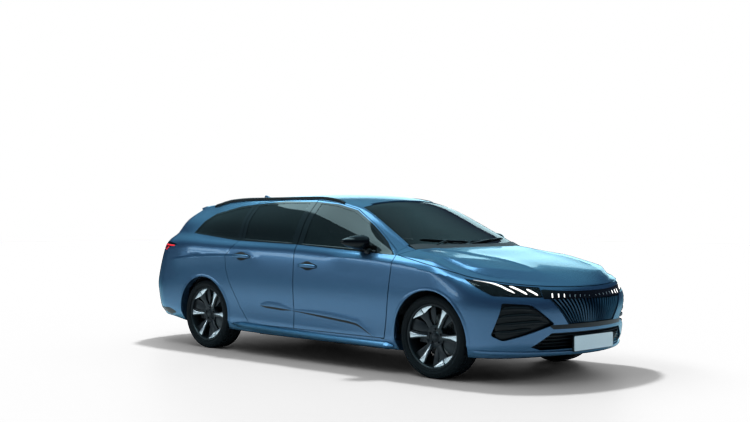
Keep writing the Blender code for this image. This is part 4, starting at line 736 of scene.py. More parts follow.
# Doors: steel pressings in the body colour below the belt, with a gloss black window frame above it and a moulded
# trim card inside. Each is hung on two hinges at its front edge.
CARD_DEPTH = 0.0506
deep_skin = layer(0, 0.050, "deep_skin")
cut(deep_skin, common(layer(0.026, 0.1, "upper"), prism(side_outline(WINDOW_FRAME_SHARES), -REACH, REACH, "Y")))
card_skin = layer(CARD_DEPTH, 0.070, "card_skin")
cut(card_skin, prism(side_outline(WINDOW_FRAME_SHARES), -REACH, REACH, "Y"))
card = new_material("door_card", (0.02, 0.02, 0.022), 0.7)
grained(card, 420, ((0.016, 0.016, 0.018), (0.03, 0.03, 0.033)), (0.6, 0.8), 0.25)
BLACK_BAND_LINE = grown(side_outline(DLO_SHARES), 0.004)
frame_band = prism(BLACK_BAND_LINE, DOOR_INNER, REACH, "Y")
for place, door_shares, glass_shares in (
    ("front", FRONT_DOOR_SHARES, FRONT_GLASS_SHARES), ("rear", REAR_DOOR_SHARES, REAR_GLASS_SHARES),
):
    outline = side_outline(door_shares)
    whole = common(copy_of(deep_skin, place + "_door_panel_left"), prism(outline, DOOR_INNER, REACH, "Y"))
    hidden = layer(0.012, 0.12, "hidden")
    cut(hidden, prism([(x + 0.016, z) for x, z in outline], 0, REACH, "Y"))
    cut(whole, hidden)
    cut(whole, prism(side_outline(glass_shares), 0, REACH, "Y"))
    window_frame = common(copy_of(whole, place + "_window_frame_left"), frame_band, keep=True)
    cut(whole, frame_band, keep=True)
    card_line = grown(outline, -0.022)
    trim = common(copy_of(card_skin, place + "_door_card_left"), prism(card_line, DOOR_INNER, REACH, "Y"))
    body = place + "_door_left"
    finish_both(whole, paint, body, (body,))
    finish_both(window_frame, gloss_black, body, (body,))
    finish_both(trim, card, body, (body,), CARD_DEPTH)
for thing in (deep_skin, card_skin, frame_band):
    bpy.data.objects.remove(thing)

# Side frames: the welded body side in one pressing, with sill, pillars, cant rail and rear quarter.
# The pillars beside the glass are gloss black, as is everything inside the windows' bright line.
shell = layer(0, 0.115, "side_frame_panel_left")
common(shell, block((-FAR, FLANK, 0), (along(1.2), REACH, TALL)))
rear_space = body_solid(0.070, "rear_space")
common(rear_space, block((-FAR, 0, 0), (along(0.134), REACH, TALL)))
cut(shell, rear_space)
recess = layer(-0.070, 0.075, "recess")
inner_edge = DOOR_INNER - SHUT_GAP
doorway = prism(grown(side_outline(FRONT_DOOR_SHARES), SHUT_GAP), inner_edge, REACH, "Y")
boolean(doorway, prism(grown(side_outline(REAR_DOOR_SHARES), SHUT_GAP), inner_edge, REACH, "Y"), "UNION")
front, far, sill_top = along(0.8535), along(1.3), up(0.184)
ahead = [(along(0.82), sill_top), (far, sill_top), (far, up(0.659)), (along(0.82), up(0.659))]
boolean(doorway, prism(ahead, inner_edge - SHUT_GAP, REACH, "Y"), "UNION")
cut(shell, common(recess, doorway))
for outline in (FRONT_OPENING_SHARES, REAR_OPENING_SHARES):
    cut(shell, prism(rounded(side_outline(outline), 0.05), FLANK, REACH, "Y"))
cut(shell, prism([(front, sill_top), (far, sill_top), (far, TALL), (front, TALL)], 0, REACH, "Y"))
cut(shell, prism(plan_outline(WINDSCREEN_SHARES), up(0.5), TALL, "Z"))
cut(shell, prism(grown(plan_outline(ROOF_SHARES), SEAM), up(0.8), TALL, "Z"))
cut(shell, prism(grown(front_outline(TAILGATE_SHARES), SHUT_GAP), -FAR, GATE_X + SHUT_GAP, "X"))
cut(shell, prism(side_outline(QUARTER_GLASS_SHARES), 0, REACH, "Y"))
lamp = layer(-0.070, 0.030, "lamp")
common(lamp, prism(grown(side_outline(TAIL_LAMP_SHARES), SEAM), FLANK, REACH, "Y"))
cut(shell, lamp)


def rear_bumper_region(by):
    line = side_outline(BUMPER_REAR_SHARES)
    outline = [(line[0][0], BELOW_GROUND), line[0], line[1], (-FAR, line[1][1]), (-FAR, BELOW_GROUND)]
    return prism(grown(outline, by), -REACH, REACH, "Y")


def wheel_hollow(axle_x, sign, radius, inner, outer):
    return drum((axle_x, sign * (inner + outer) / 2, TYRE_RADIUS), (0, 1, 0), radius, outer - inner)


def cut_arches(thing, axle_x, sides=(1,)):
    """The wheel arch, with more room inboard of the lip at the front for the steered tyre."""
    inboard = across(0.43)
    for sign in sides:
        cut(thing, wheel_hollow(axle_x, sign, ARCH_RADIUS, inboard, REACH))
        if axle_x == FRONT_AXLE_X:
            cut(thing, wheel_hollow(axle_x, sign, STEER_RADIUS, inboard, across(0.865)))


cut(shell, rear_bumper_region(SEAM))
cut(shell, block((-FAR, 0, 0), (far, across(0.80), up(0.22))))
cut_arches(shell, REAR_AXLE_X)
cut_arches(shell, FRONT_AXLE_X)
dark_band = prism(BLACK_BAND_LINE, across(0.4), REACH, "Y")
pillars = common(copy_of(shell, "pillars_left"), dark_band, keep=True)
cut(shell, dark_band)
finish_both(shell, paint, "root", ("side_frame_left",))
finish_both(pillars, gloss_black, "root", ("side_frame_left",))


# Bonnet: an aluminium pressing with two long ridges, hinged at its rear edge.
def bonnet_region(by):
    line = side_outline(BONNET_LINE_SHARES)
    above = grown(line + [(FAR, line[-1][1]), (FAR, TALL), (line[0][0], TALL)], by)
    half = [(along(a), across(b)) for a, b in BONNET_REAR_SHARES]
    rear = half[::-1] + [(x, -y) for x, y in half if y > 0] + [(FAR, -half[-1][1]), (FAR, half[-1][1])]
    return common(prism(above, -REACH, REACH, "Y"), prism(grown(rear, by), 0, TALL, "Z"))


bonnet = common(copy_of(thin_skin, "bonnet_panel"), bonnet_region(0))
finish_panel(bonnet, paint, "bonnet", ("bonnet",))

# Front wings: steel pressings between door, bonnet, headlamp and bumper.
line, front = side_outline(WING_REAR_SHARES), side_outline(BUMPER_FRONT_SHARES)
outline = line + [(front[-1][0], line[-1][1]), front[-1]] + front[-2:0:-1] + [(front[0][0], up(0.69))]
wing = common(copy_of(thin_skin, "wing_panel_left"), prism(outline, FLANK, REACH, "Y"))
cut(wing, bonnet_region(SHUT_GAP))
cut(wing, block((along(0.7), 0, up(0.5)), (along(0.95), across(0.75), TALL)))


def headlamp_region(by):
    return prism(grown(side_outline(HEADLAMP_SHARES), by), across(0.56) - by, REACH, "Y")


cut(wing, headlamp_region(SEAM))
cut_arches(wing, FRONT_AXLE_X)
finish_both(wing, paint, "root", ("front_wing_left",))

# Front bumper: one moulded and painted cover with openings for the grille, the side intakes and the lower intake.
line = side_outline(BUMPER_FRONT_SHARES)
outline = [(line[0][0], TALL)] + line + [(line[-1][0], BELOW_GROUND), (FAR, BELOW_GROUND), (FAR, TALL)]
bumper = common(copy_of(thin_skin, "front_bumper_cover"), prism(grown(outline, -2 * SEAM), -REACH, REACH, "Y"))
cut(bumper, bonnet_region(SHUT_GAP))
intake_line = rounded([(across(a), up(b)) for a, b in SIDE_INTAKE_SHARES], 0.018)
for opening in (headlamp_region(SEAM), prism(intake_line, along(1.45), FAR, "X")):
    cut(bumper, other_side(opening, "cutter"))
    cut(bumper, opening)
for opening in (GRILLE_SHARES, LOWER_INTAKE_SHARES):
    cut(bumper, prism(front_outline(opening), along(1.4), FAR, "X"))
cut_arches(bumper, FRONT_AXLE_X, (1, -1))
finish_panel(bumper, paint, "root", ("front_bumper",))

# Rear bumper: a moulded and painted cover.
rear = common(copy_of(thin_skin, "rear_bumper_cover"), rear_bumper_region(-SEAM))
cut_arches(rear, REAR_AXLE_X, (1, -1))
finish_panel(rear, paint, "root", ("rear_bumper",))

# Tailgate: one pressing round the rear window, hinged at the roof, with a light bar across it.
gate = layer(0, 0.060, "tailgate_panel")
gate_line = front_outline(TAILGATE_SHARES)
common(gate, prism(gate_line, -FAR, GATE_X - SHUT_GAP, "X"))
hidden = layer(0.008, 0.11, "hidden")
cut(hidden, prism(grown(gate_line, -0.032), -FAR, FAR, "X"))
cut(gate, hidden)
cut(gate, prism(front_outline(TAILGATE_GLASS_SHARES), -FAR, GATE_GLASS_X, "X"))
bar = layer(-0.070, 0.030, "recess")
common(bar, prism(grown(front_outline(TAIL_BAR_SHARES), SEAM), -FAR, GATE_BAR_X, "X"))
cut(gate, bar)
finish_panel(gate, paint, "tailgate", ("tailgate",))


# Window panes: toughened glass, tinted dark behind the front seats and lightly in the windscreen, bonded flush.
def pane_glass(name, colour, alpha):
    material = new_material(name, colour, 0.02, more={"Alpha": alpha, "Specular IOR Level": 0.2})
    return grained(material, 3.0, (colour, tuple(c * 1.4 for c in colour)), (0.01, 0.03))


GLASS_DEPTH = 0.003
tinted = pane_glass("tinted_glass", (0.002, 0.002, 0.002), 0.88)
clear = pane_glass("screen_glass", (0.002, 0.002, 0.002), 0.66)
panes = layer(GLASS_DEPTH, 0.007, "panes")
for name, shares, body, node in (
    ("front_pane_left", FRONT_GLASS_SHARES, "front_door_left", "front_door_glass_left"),
    ("rear_pane_left", REAR_GLASS_SHARES, "rear_door_left", "rear_door_glass_left"),
    ("quarter_pane_left", QUARTER_GLASS_SHARES, "root", "quarter_glass_left"),
):
    pane = common(copy_of(panes, name), prism(grown(side_outline(shares), -SEAM), DOOR_INNER, REACH, "Y"))
    finish_both(pane, tinted, body, (node,), GLASS_DEPTH)
outline = grown(plan_outline(WINDSCREEN_SHARES), -SEAM)
screen = common(copy_of(panes, "windscreen_pane"), prism(outline, up(0.5), TALL, "Z"))
finish_panel(screen, clear, "root", ("windscreen",), GLASS_DEPTH)
outline = grown(front_outline(TAILGATE_GLASS_SHARES), -SEAM)
back = common(panes, prism(outline, -FAR, GATE_GLASS_X, "X"))
back.name = "tailgate_pane"
finish_panel(back, tinted, "tailgate", ("tailgate_glass",), GLASS_DEPTH)
bpy.data.objects.remove(thin_skin)

# Wheels: radial tyres with four rain grooves and siped shoulders on dark cast alloy rims. The faces of four spokes
# and the two split arcs at the rim's edge are turned bright on a lathe. Dark blades fill part of the gaps.
RIM_RADIUS, RIM_HALF, TREAD_STEPS = TYRE_RADIUS - 0.072, 0.095, 120
DISC_RADIUS = 0.671 * RIM_RADIUS
rubber = new_material("tyre_rubber", (0.008, 0.008, 0.009), 0.75, more={"Specular IOR Level": 0.12})
grained(rubber, 140, ((0.006, 0.006, 0.007), (0.012, 0.012, 0.013)), (0.62, 0.85), 0.2)
cast_dark = new_material("dark_cast_alloy", (0.018, 0.019, 0.021), 0.35, 0.6)
grained(cast_dark, 260, ((0.012, 0.013, 0.015), (0.024, 0.025, 0.028)), (0.24, 0.38), 0.1)


def turned_steel(name, centre_x, colours, rings):
    """Bare metal with the fine rings that the lathe leaves about a wheel's axis."""
    material = new_material(name, colours[0], 0.25, 1.0)
    tree = material.node_tree
    place = add_node(tree, "TexCoord").outputs["Object"]
    centred = add_node(tree, "Mapping", {"Vector": place, "Location": (-centre_x, 0, -TYRE_RADIUS)})
    wave = tree.nodes.new("ShaderNodeTexWave")
    wave.wave_type = "RINGS"
    wave.rings_direction = "Y"
    set_inputs(tree, wave, {"Vector": centred.outputs["Vector"], "Scale": rings, "Distortion": 0.6})
    shade = wave.outputs["Fac"]
    colour, roughness = add_ramp(tree, shade, tuple(enumerate(colours))), add_range(tree, shade, 0.20, 0.34)
    set_inputs(tree, tree.nodes["Principled BSDF"], {"Base Color": colour, "Roughness": roughness})
    return material


def turned(profile, steps, name, material, smooth=40):
    """A ring about the wheel's axis, from a closed section of (radius, offset across) points."""
    bm = bmesh.new()
    verts = [bm.verts.new((0, offset, radius)) for radius, offset in profile]
    edges = [bm.edges.new((a, b)) for a, b in zip(verts, verts[1:] + verts[:1])]
    around = {"axis": (0, 1, 0), "cent": (0, 0, 0), "angle": math.tau, "steps": steps, "use_merge": True}
    bmesh.ops.spin(bm, geom=verts + edges, **around)
    bmesh.ops.remove_doubles(bm, verts=bm.verts, dist=0.00005)
    bmesh.ops.recalc_face_normals(bm, faces=bm.faces)
    return placed(bm, name, material, smooth)


def edit(thing):
    """The mesh of a piece, opened for bmesh operators."""
    bm = bmesh.new()
    bm.from_mesh(thing.data)
    return bm


def close(bm, thing):
    bm.to_mesh(thing.data)
    bm.free()
    return thing


def joined(things, name):
    """Several pieces of one material as one mesh."""
    bm = bmesh.new()
    for thing in things:
        bm.from_mesh(thing.data)
    material = things[0].data.materials[0]
    for thing in things:
        bpy.data.objects.remove(thing)
    return placed(bm, name, material, 35)


def bevelled(thing, width, segments=2, angle=30):
    """Rounds the sharp edges of a piece."""
    bm = edit(thing)
    bmesh.ops.remove_doubles(bm, verts=bm.verts, dist=PANEL_WELD)
    sharp = [e for e in bm.edges if len(e.link_faces) == 2 and e.calc_face_angle(0) > math.radians(angle)]
    bmesh.ops.bevel(bm, geom=sharp, offset=width, affect="EDGES", segments=segments, profile=0.5, material=-1)
    close(bm, thing)
    thing.data.shade_smooth()
    thing.data.set_sharp_from_angle(angle=math.radians(42))
    return thing


def wheel_plates(rows):
    """Plates of the rim's face, each made twice, half a turn apart, and dished like the face."""
    plates = []
    for places, points, depth, thickness, edge in rows:
        for turn in [place + half_turn for half_turn in (0, 180) for place in places]:
            outline = []
            for share, angle in points:
                a = math.radians(angle + turn)
                outline.append((RIM_RADIUS * share * math.sin(a), RIM_RADIUS * share * math.cos(a)))
            plate = bevelled(prism(outline, -thickness, 0, "Y", "plate"), edge)
            for vert in plate.data.vertices:
                vert.co.y += 0.060 + depth + 0.026 * min(Vector((vert.co.x, vert.co.z)).length / RIM_RADIUS, 1) ** 1.5
            plate.data.materials[0] = cast_dark
            plates.append(plate)
    return plates


def wheel_at(thing, x, sign, name):
    """A copy of a wheel piece in its place on the car."""
    other = copy_of(thing, name)
    bm = edit(other)
    if sign < 0:
        bmesh.ops.scale(bm, vec=(1, -1, 1), verts=bm.verts)
        bmesh.ops.reverse_faces(bm, faces=bm.faces)
    bmesh.ops.translate(bm, vec=(x, sign * TRACK / 2, TYRE_RADIUS), verts=bm.verts)
    return close(bm, other)


# The tyre's section from the tread's middle to the bead: drop below the tread, and offset across
HALF_TYRE = (
    (0.0, 0.0075), (0.0065, 0.0085), (0.0065, 0.0155), (0.0, 0.0165), (0.0, 0.045), (0.0065, 0.046), (0.0065, 0.055),
    (0.0005, 0.056), (0.003, 0.082), (0.007, 0.093), (0.014, 0.1005), (0.016, 0.1015), (0.030, 0.1105),
    (0.034, 0.1125), (0.042, 0.1115), (0.045, 0.1095), (0.058, 0.106), (0.060, 0.1075), (0.064, 0.105),
    (0.0718, 0.092),
)
half = [(TYRE_RADIUS - drop, offset) for drop, offset in HALF_TYRE]
tyre = turned(half + [(r, -o) for r, o in half[::-1]], TREAD_STEPS, "tyre", rubber, 50)
bm = edit(tyre)
blocks = []
for face in bm.faces:
    middle = face.calc_center_median()
    radius = Vector((middle.x, middle.z)).length
    turn = round(math.atan2(middle.x, middle.z) / (2 * math.pi) * TREAD_STEPS - 0.5)
    if radius > TYRE_RADIUS - 0.004 and abs(middle.y) > 0.02 and turn % 3 == 0:
        blocks.append(face)
bmesh.ops.inset_individual(bm, faces=blocks, thickness=0.0022, depth=-0.005)
close(bm, tyre)
# The rim's and the brake disc's turned sections: radius and offset across
BARREL = (
    (1.0, RIM_HALF), (0.962, RIM_HALF), (0.948, 0.092), (0.930, 0.080), (0.905, 0.030), (0.890, -0.075),
    (0.95, -RIM_HALF), (1.0, -RIM_HALF),
)
HUB = (
    (0.0, 0.010), (0.0, 0.0605), (0.034, 0.0605), (0.040, 0.055), (0.066, 0.057), (0.078, 0.062), (0.085, 0.058),
    (0.085, 0.010),
)
CAP = ((0.0, 0.060), (0.0, 0.0705), (0.012, 0.070), (0.022, 0.068), (0.027, 0.0655), (0.029, 0.060))
DISC = (
    (0.079, -0.036), (DISC_RADIUS, -0.036), (DISC_RADIUS, -0.0325), (DISC_RADIUS - 0.004, -0.0315),
    (DISC_RADIUS - 0.004, -0.0285), (DISC_RADIUS, -0.0275), (DISC_RADIUS, -0.024), (0.085, -0.024), (0.081, -0.008),
    (0.074, -0.004), (0.03, -0.004), (0.03, -0.0095), (0.070, -0.0095), (0.0785, -0.014),
)
# Plates: where they stand on the clock, points of (share of the rim's radius, angle), depth, thickness and edge
SPOKES = (
    ((30, 90), ((0.24, -26), (0.60, -8), (0.95, -8.5), (0.95, 8.5), (0.60, 9), (0.24, 26)), -0.003, 0.022, 0.003),
    ((150,), ((0.24, -26), (0.55, -10), (0.95, -15), (0.95, 15), (0.55, 10), (0.24, 26)), -0.005, 0.020, 0.003),
)
AIR_BLADES = (
    ((150,), ((0.28, -46), (0.94, -51), (0.94, -37), (0.94, -26), (0.60, -16), (0.30, -22)), -0.014, 0.008, 0.002),
    ((150,), ((0.30, 22), (0.60, 15), (0.94, 20), (0.94, 33), (0.62, 34)), -0.016, 0.008, 0.002),
    ((0,), ((0.30, 44), (0.62, 40), (0.94, 40), (0.94, 53), (0.55, 52)), -0.016, 0.008, 0.002),
)
ARC = ((0.94, 28), (0.94, 21), (0.94, 14), (0.94, 7), (0.94, 1.1), (0.775, 1.3), (0.80, 10), (0.875, 21))
BRIGHT_FACES = (
    ((30, 90), ((0.30, -3), (0.66, -4.4), (0.93, -6), (0.93, 5.4), (0.66, 2.5), (0.30, 2)), 0.0012, 0.005, 0.0015),
    ((150,), ARC, 0.0015, 0.006, 0.0015),
    ((150,), tuple((share, -angle) for share, angle in ARC), 0.0015, 0.006, 0.0015),
)
barrel = turned([(RIM_RADIUS * share, offset) for share, offset in BARREL], 96, "barrel", cast_dark)
rim = joined([barrel, turned(HUB, 64, "hub", cast_dark)] + wheel_plates(SPOKES + AIR_BLADES), "rim")
faces = joined(wheel_plates(BRIGHT_FACES), "faces")
nuts = []
for k in range(5):
    a = math.tau * k / 5
    centre = (0.054 * math.sin(a), 0.062, 0.054 * math.cos(a))
    nuts.append(bevelled(drum(centre, (0, 1, 0), 0.0095, 0.012, sides=6), 0.0015))
nuts = joined(nuts + [turned(CAP, 48, "cap", cast_dark)], "nuts")
disc = turned(DISC, 96, "disc", cast_dark)
for axle, x in (("front", FRONT_AXLE_X), ("rear", REAR_AXLE_X)):
    machined = turned_steel(axle + "_machined_alloy", x, ((0.62, 0.63, 0.65), (0.80, 0.81, 0.83)), 90)
    disc_steel = turned_steel(axle + "_brake_disc_steel", x, ((0.10, 0.10, 0.105), (0.24, 0.235, 0.23)), 70)
    for side, sign in (("left", 1), ("right", -1)):
        for part, what, material, node in (
            (tyre, "tyre_treaded", rubber, "tyre"), (rim, "alloy_rim", cast_dark, "rim"),
            (faces, "machined_faces", machined, "rim"), (nuts, "nuts_and_cap", cast_dark, "rim"),
            (disc, "brake_disc", disc_steel, "rim"),
        ):
            piece = wheel_at(part, x, sign, f"{axle}_{what}_{side}")
            piece.data.materials[0] = material
            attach(piece, f"{axle}_wheel_{side}")
            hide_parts(f"{axle}_{node}_{side}")
for thing in (tyre, rim, faces, nuts, disc):
    bpy.data.objects.remove(thing)


# Headlamps: a black housing set in the nose, three slanted light guides in it, and a clear cover over them.
# Strips that follow the body, such as these light guides, are laid on its skin with one sweep along a line.
def on_skin(point, view):
    """The skin's place under a drawn point, and the way out of it. A point with x, y and z snaps to the nearest."""
    tree = skin_at(0)[0]
    if len(point) == 3:
        hit = tree.find_nearest(Vector(point))[0]
    else:
        a, b = point
        start, way = {
            "left": ((a, REACH, b), (0, -1, 0)), "front": ((FAR, a, b), (-1, 0, 0)),
            "back": ((-FAR, a, b), (1, 0, 0)), "top": ((a, b, TALL), (0, 0, -1)),
        }[view]
        hit = tree.ray_cast(Vector(start), Vector(way))[0]
    out = skin_normal(hit, 0)[0]
    return hit + out * relief(hit, out)[0], out


def flowing(line, steps):
    """A smooth curve through the points of a line."""
    line = [Vector(p) for p in line]
    ends = [2 * line[0] - line[1]] + line + [2 * line[-1] - line[-2]]
    out = []
    for a, b, c, d in zip(ends, ends[1:], ends[2:], ends[3:]):
        for k in range(steps):
            t = k / steps
            curved = (2 * a - 5 * b + 4 * c - d) * t * t + (3 * b - a - 3 * c + d) * t**3
            out.append(0.5 * (2 * b + (c - a) * t + curved))
    return out + [line[-1]]


def sweep(frames, section, name, material, taper=0.0, lift=0.0, smooth=40):
    """A solid strip: its section, as (sideways, outward) points, is carried along places with their outward ways."""
    bm = bmesh.new()
    last = len(frames) - 1
    face, ring = None, []
    for k, (place, out) in enumerate(frames):
        ahead = (frames[min(k + 1, last)][0] - frames[max(k - 1, 0)][0]).normalized()
        sideways = ahead.cross(out).normalized()
        outward = sideways.cross(ahead)
        t = k / last
        size = min(1.0, 0.25 + 0.75 * min(t, 1 - t) / taper) if taper else 1.0
        raised = place + outward * (lift(t) if callable(lift) else lift)
        before, ring = ring, [raised + sideways * (a * size) + outward * (b * size) for a, b in section]
        if face is None:
            face = bm.faces.new([bm.verts.new(p) for p in ring])
            continue
        made = bmesh.ops.extrude_face_region(bm, geom=[face])["geom"]
        face = next(g for g in made if isinstance(g, bmesh.types.BMFace))
        for vert in face.verts:
            vert.co = ring[min(range(len(before)), key=lambda i: (vert.co - before[i]).length)]
    bmesh.ops.recalc_face_normals(bm, faces=bm.faces)
    return placed(bm, name, material, smooth)


def strip(name, material, line, section, view="left", steps=5, **shape):
    """A strip along a line drawn on the skin from one side."""
    return sweep([on_skin(tuple(p), view) for p in flowing(line, steps)], section, name, material, **shape)


def carried(thing, body, nodes=()):
    """Rides a piece on its body. A left piece gets its twin on the right."""
    pairs = [(thing, "left")]
    if thing.name.endswith("_left"):
        pairs.append((other_side(thing, thing.name.replace("left", "right")), "right"))
    for piece, side in pairs:
        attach(piece, body.replace("left", side))
        if nodes:
            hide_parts(*(node.replace("left", side) for node in nodes))


def rounded_bar(width, height, lowest=0.0):
    """A strip's section: flat below and rounded above."""
    w = width / 2
    rise = [(w, height * 0.55), (w * 0.7, height * 0.9), (0, height), (-w * 0.7, height * 0.9), (-w, height * 0.55)]
    return [(-w, lowest), (w, lowest)] + rise


def glow(colour, strength):
    return {"Emission Color": (*colour, 1), "Emission Strength": strength}


light_guide = new_material("light_guide", (0.95, 0.95, 0.93), 0.2, more=glow((1.0, 0.93, 0.86), 1.6))
grained(light_guide, 220, ((0.86, 0.88, 0.90), (1.0, 1.0, 0.98)), (0.1, 0.2))
lens = pane_glass("clear_lens", (0.02, 0.021, 0.022), 0.08)
for name, outer, inner, material in (
    ("headlamp_housing_left", 0.005, 0.018, gloss_black), ("headlamp_cover_left", 0.0005, 0.003, lens),
):
    piece = common(layer(outer, inner, name), headlamp_region(-SEAM))
    cut(piece, bonnet_region(SHUT_GAP))
    finish_both(piece, material, "root", ("headlamp_left",), outer)
guide_section = rounded_bar(0.013, 0.004, -0.003)
for k, line in enumerate((
    ((1.835, 0.845, 0.762), (1.92, 0.806, 0.750), (2.02, 0.757, 0.712), (2.106, 0.707, 0.672)),
    ((2.062, 0.716, 0.722), (2.11, 0.672, 0.694), (2.159, 0.628, 0.662)),
    ((2.142, 0.618, 0.699), (2.172, 0.582, 0.676), (2.197, 0.551, 0.654)),
)):
    name = f"light_guide_{k + 1}_left"
    guide = strip(name, light_guide, line, guide_section, steps=4, taper=0.12, lift=-0.0042)
    carried(guide, "root", ("headlamp_left",))
BOWL = (
    (0.0, -0.010), (0.016, -0.008), (0.020, -0.004), (0.022, 0.0), (0.024, -0.001), (0.024, -0.012), (0.0, -0.012),
)
for k, drawn in enumerate(((1.93, 0.79, 0.705), (2.07, 0.715, 0.675))):
    place, out = on_skin(drawn, "left")
    bowl = turned(BOWL, 32, f"projector_{k + 1}_left", satin_black)
    turn = Vector((0, 1, 0)).rotation_difference(out).to_matrix().to_4x4()
    bowl.data.transform(Matrix.Translation(place - out * 0.005) @ turn)
    carried(bowl, "root", ("headlamp_left",))


# Nose: a black band with small light ticks that fade to the middle, and below it the grille, whose upright fins fan
# out over a black moulded insert. Black flowing louvres fill the side intakes, and slats the lower one.
def cover_piece(name, material, outer, inner, half_outline, node, low=along(1.4), high=FAR):
    """A thin cover on the skin within an outline seen from the front or the back, given by its left half."""
    piece = common(layer(outer, inner, name), prism(mirrored(half_outline), low, high, "X"))
    finish_panel(piece, material, "root", (node,), outer)


fin_paint = flake_paint("fin_finish", (0.035, 0.085, 0.14), (0.010, 0.028, 0.055))
half_band = [
    (0.0, 0.672), (0.20, 0.674), (0.36, 0.682), (0.495, 0.694), (0.517, 0.690), (0.517, 0.628), (0.495, 0.624),
    (0.20, 0.618), (0.0, 0.616),
]
cover_piece("nose_band", gloss_black, -0.0012, 0.004, half_band, "grille")
dim_guide = new_material("dim_light_guide", (0.30, 0.31, 0.32), 0.25)
grained(dim_guide, 220, ((0.22, 0.23, 0.24), (0.36, 0.37, 0.38)), (0.15, 0.3))
for k in range(8):
    y, z = 0.436 - 0.056 * k, 0.648 - 0.002 * k
    half, tall = 0.0048 - 0.0005 * k, 0.0145 - 0.0015 * k
    line = ((y + 0.004, z - tall), (y, z), (y - 0.004, z + tall))
    section = rounded_bar(2 * half, 0.0030)
    guide = light_guide if k < 3 else dim_guide
    carried(strip(f"nose_tick_{k + 1}_left", guide, line, section, "front", 2, lift=0.0010), "root", ("grille",))
half_insert = [(across(a), up(b)) for a, b in ((0.907, 0.17), (0.907, 0.43), (0.562, 0.43), (0.540, 0.465))]
cover_piece("grille_insert", satin_black, 0.030, 0.042, half_insert, "grille", along(1.62))
FINS = 11
FIN = ((-0.0075, -0.026), (0.0075, -0.026), (0.0065, -0.008), (0.001, -0.002), (-0.001, -0.002), (-0.0065, -0.008))
fins = []
for k in range(-FINS, FINS + 1):
    share = k / (FINS + 0.6)
    line = ((0.505 * share, 0.650), (0.402 * share, 0.545), (0.298 * share, 0.438))
    fins.append(strip("fin", fin_paint, line, FIN, "front"))
fins = joined(fins, "grille_fins")
for vert in fins.data.vertices:
    vert.co.x -= 0.0055
carried(fins, "root", ("grille",))
half_chin = [(0.0, 0.434), (0.300, 0.434), (0.46, 0.434), (0.475, 0.425), (0.44, 0.402), (0.0, 0.398)]
cover_piece("chin_strip", satin_black, -0.0008, 0.003, half_chin, "grille")
for k, (line, wide) in enumerate((
    (((0.815, 0.545), (0.74, 0.560), (0.66, 0.558), (0.60, 0.545)), 0.034),
    (((0.825, 0.490), (0.74, 0.500), (0.65, 0.505), (0.56, 0.495), (0.53, 0.485)), 0.032),
    (((0.832, 0.435), (0.74, 0.440), (0.65, 0.448), (0.56, 0.452), (0.475, 0.443)), 0.030),
    (((0.835, 0.380), (0.76, 0.380), (0.68, 0.392), (0.60, 0.404)), 0.028),
)):
    name, section = f"intake_louvre_{k + 1}_left", rounded_bar(wide, 0.012, -0.014)
    carried(strip(name, satin_black, line, section, "front", taper=0.2, lift=-0.020), "root", ("grille",))
for k, z in enumerate((0.352, 0.326, 0.300, 0.274)):
    half = 0.44 + (0.36 - z) * 1.2
    line = [(half * share, z) for share in (-1, -0.5, 0, 0.5, 1)]
    section = rounded_bar(0.006, 0.016, -0.008)
    carried(strip(f"lower_slat_{k + 1}", satin_black, line, section, "front", 6, lift=-0.020), "root", ("grille",))

# Front number plate: a blank white reflective sheet with a raised rim, on a black plinth.
PLATE_X, PLATE_Z = 2.312, 0.288
plate_white = new_material("front_plate_white", (0.8, 0.8, 0.8), 0.4)
grained(plate_white, 900, ((0.74, 0.75, 0.76), (0.86, 0.87, 0.88)), (0.3, 0.5), 0.1)
corners = ((-0.26, -0.055), (0.26, -0.055), (0.26, 0.055), (-0.26, 0.055))
outline = rounded([(y, PLATE_Z + z) for y, z in corners], 0.012)
sheet = prism(outline, PLATE_X - 0.004, PLATE_X, "X", "front_plate")
sheet.data.materials[0] = plate_white
bm = edit(sheet)
bmesh.ops.recalc_face_normals(bm, faces=bm.faces)
front = [f for f in bm.faces if f.normal.x > 0.9]
bmesh.ops.inset_region(bm, faces=front, thickness=0.004, depth=0.0)
bmesh.ops.inset_region(bm, faces=front, thickness=0.0015, depth=-0.0012)
close(bm, sheet)
plinth = prism(grown(outline, 0.006), PLATE_X - 0.022, PLATE_X - 0.0045, "X", "front_plate_plinth")
bevelled(plinth, 0.003).data.materials[0] = satin_black
for piece in (sheet, plinth):
    carried(piece, "root")

# Front splitter: a body-coloured blade along the bumper's lower edge, which turns up towards the wheels.
section = [(-0.016, -0.004), (0.016, -0.004), (0.018, 0.003), (0.006, 0.011), (-0.010, 0.010), (-0.016, 0.004)]
line = [
    (1.86, 0.872, 0.235), (1.96, 0.835, 0.226), (2.06, 0.760, 0.220), (2.15, 0.640, 0.216), (2.225, 0.480, 0.213),
    (2.27, 0.300, 0.211), (2.287, 0.120, 0.210), (2.290, 0.0, 0.210),
]
carried(strip("splitter_left", paint, line, section, steps=4, smooth=50), "root")

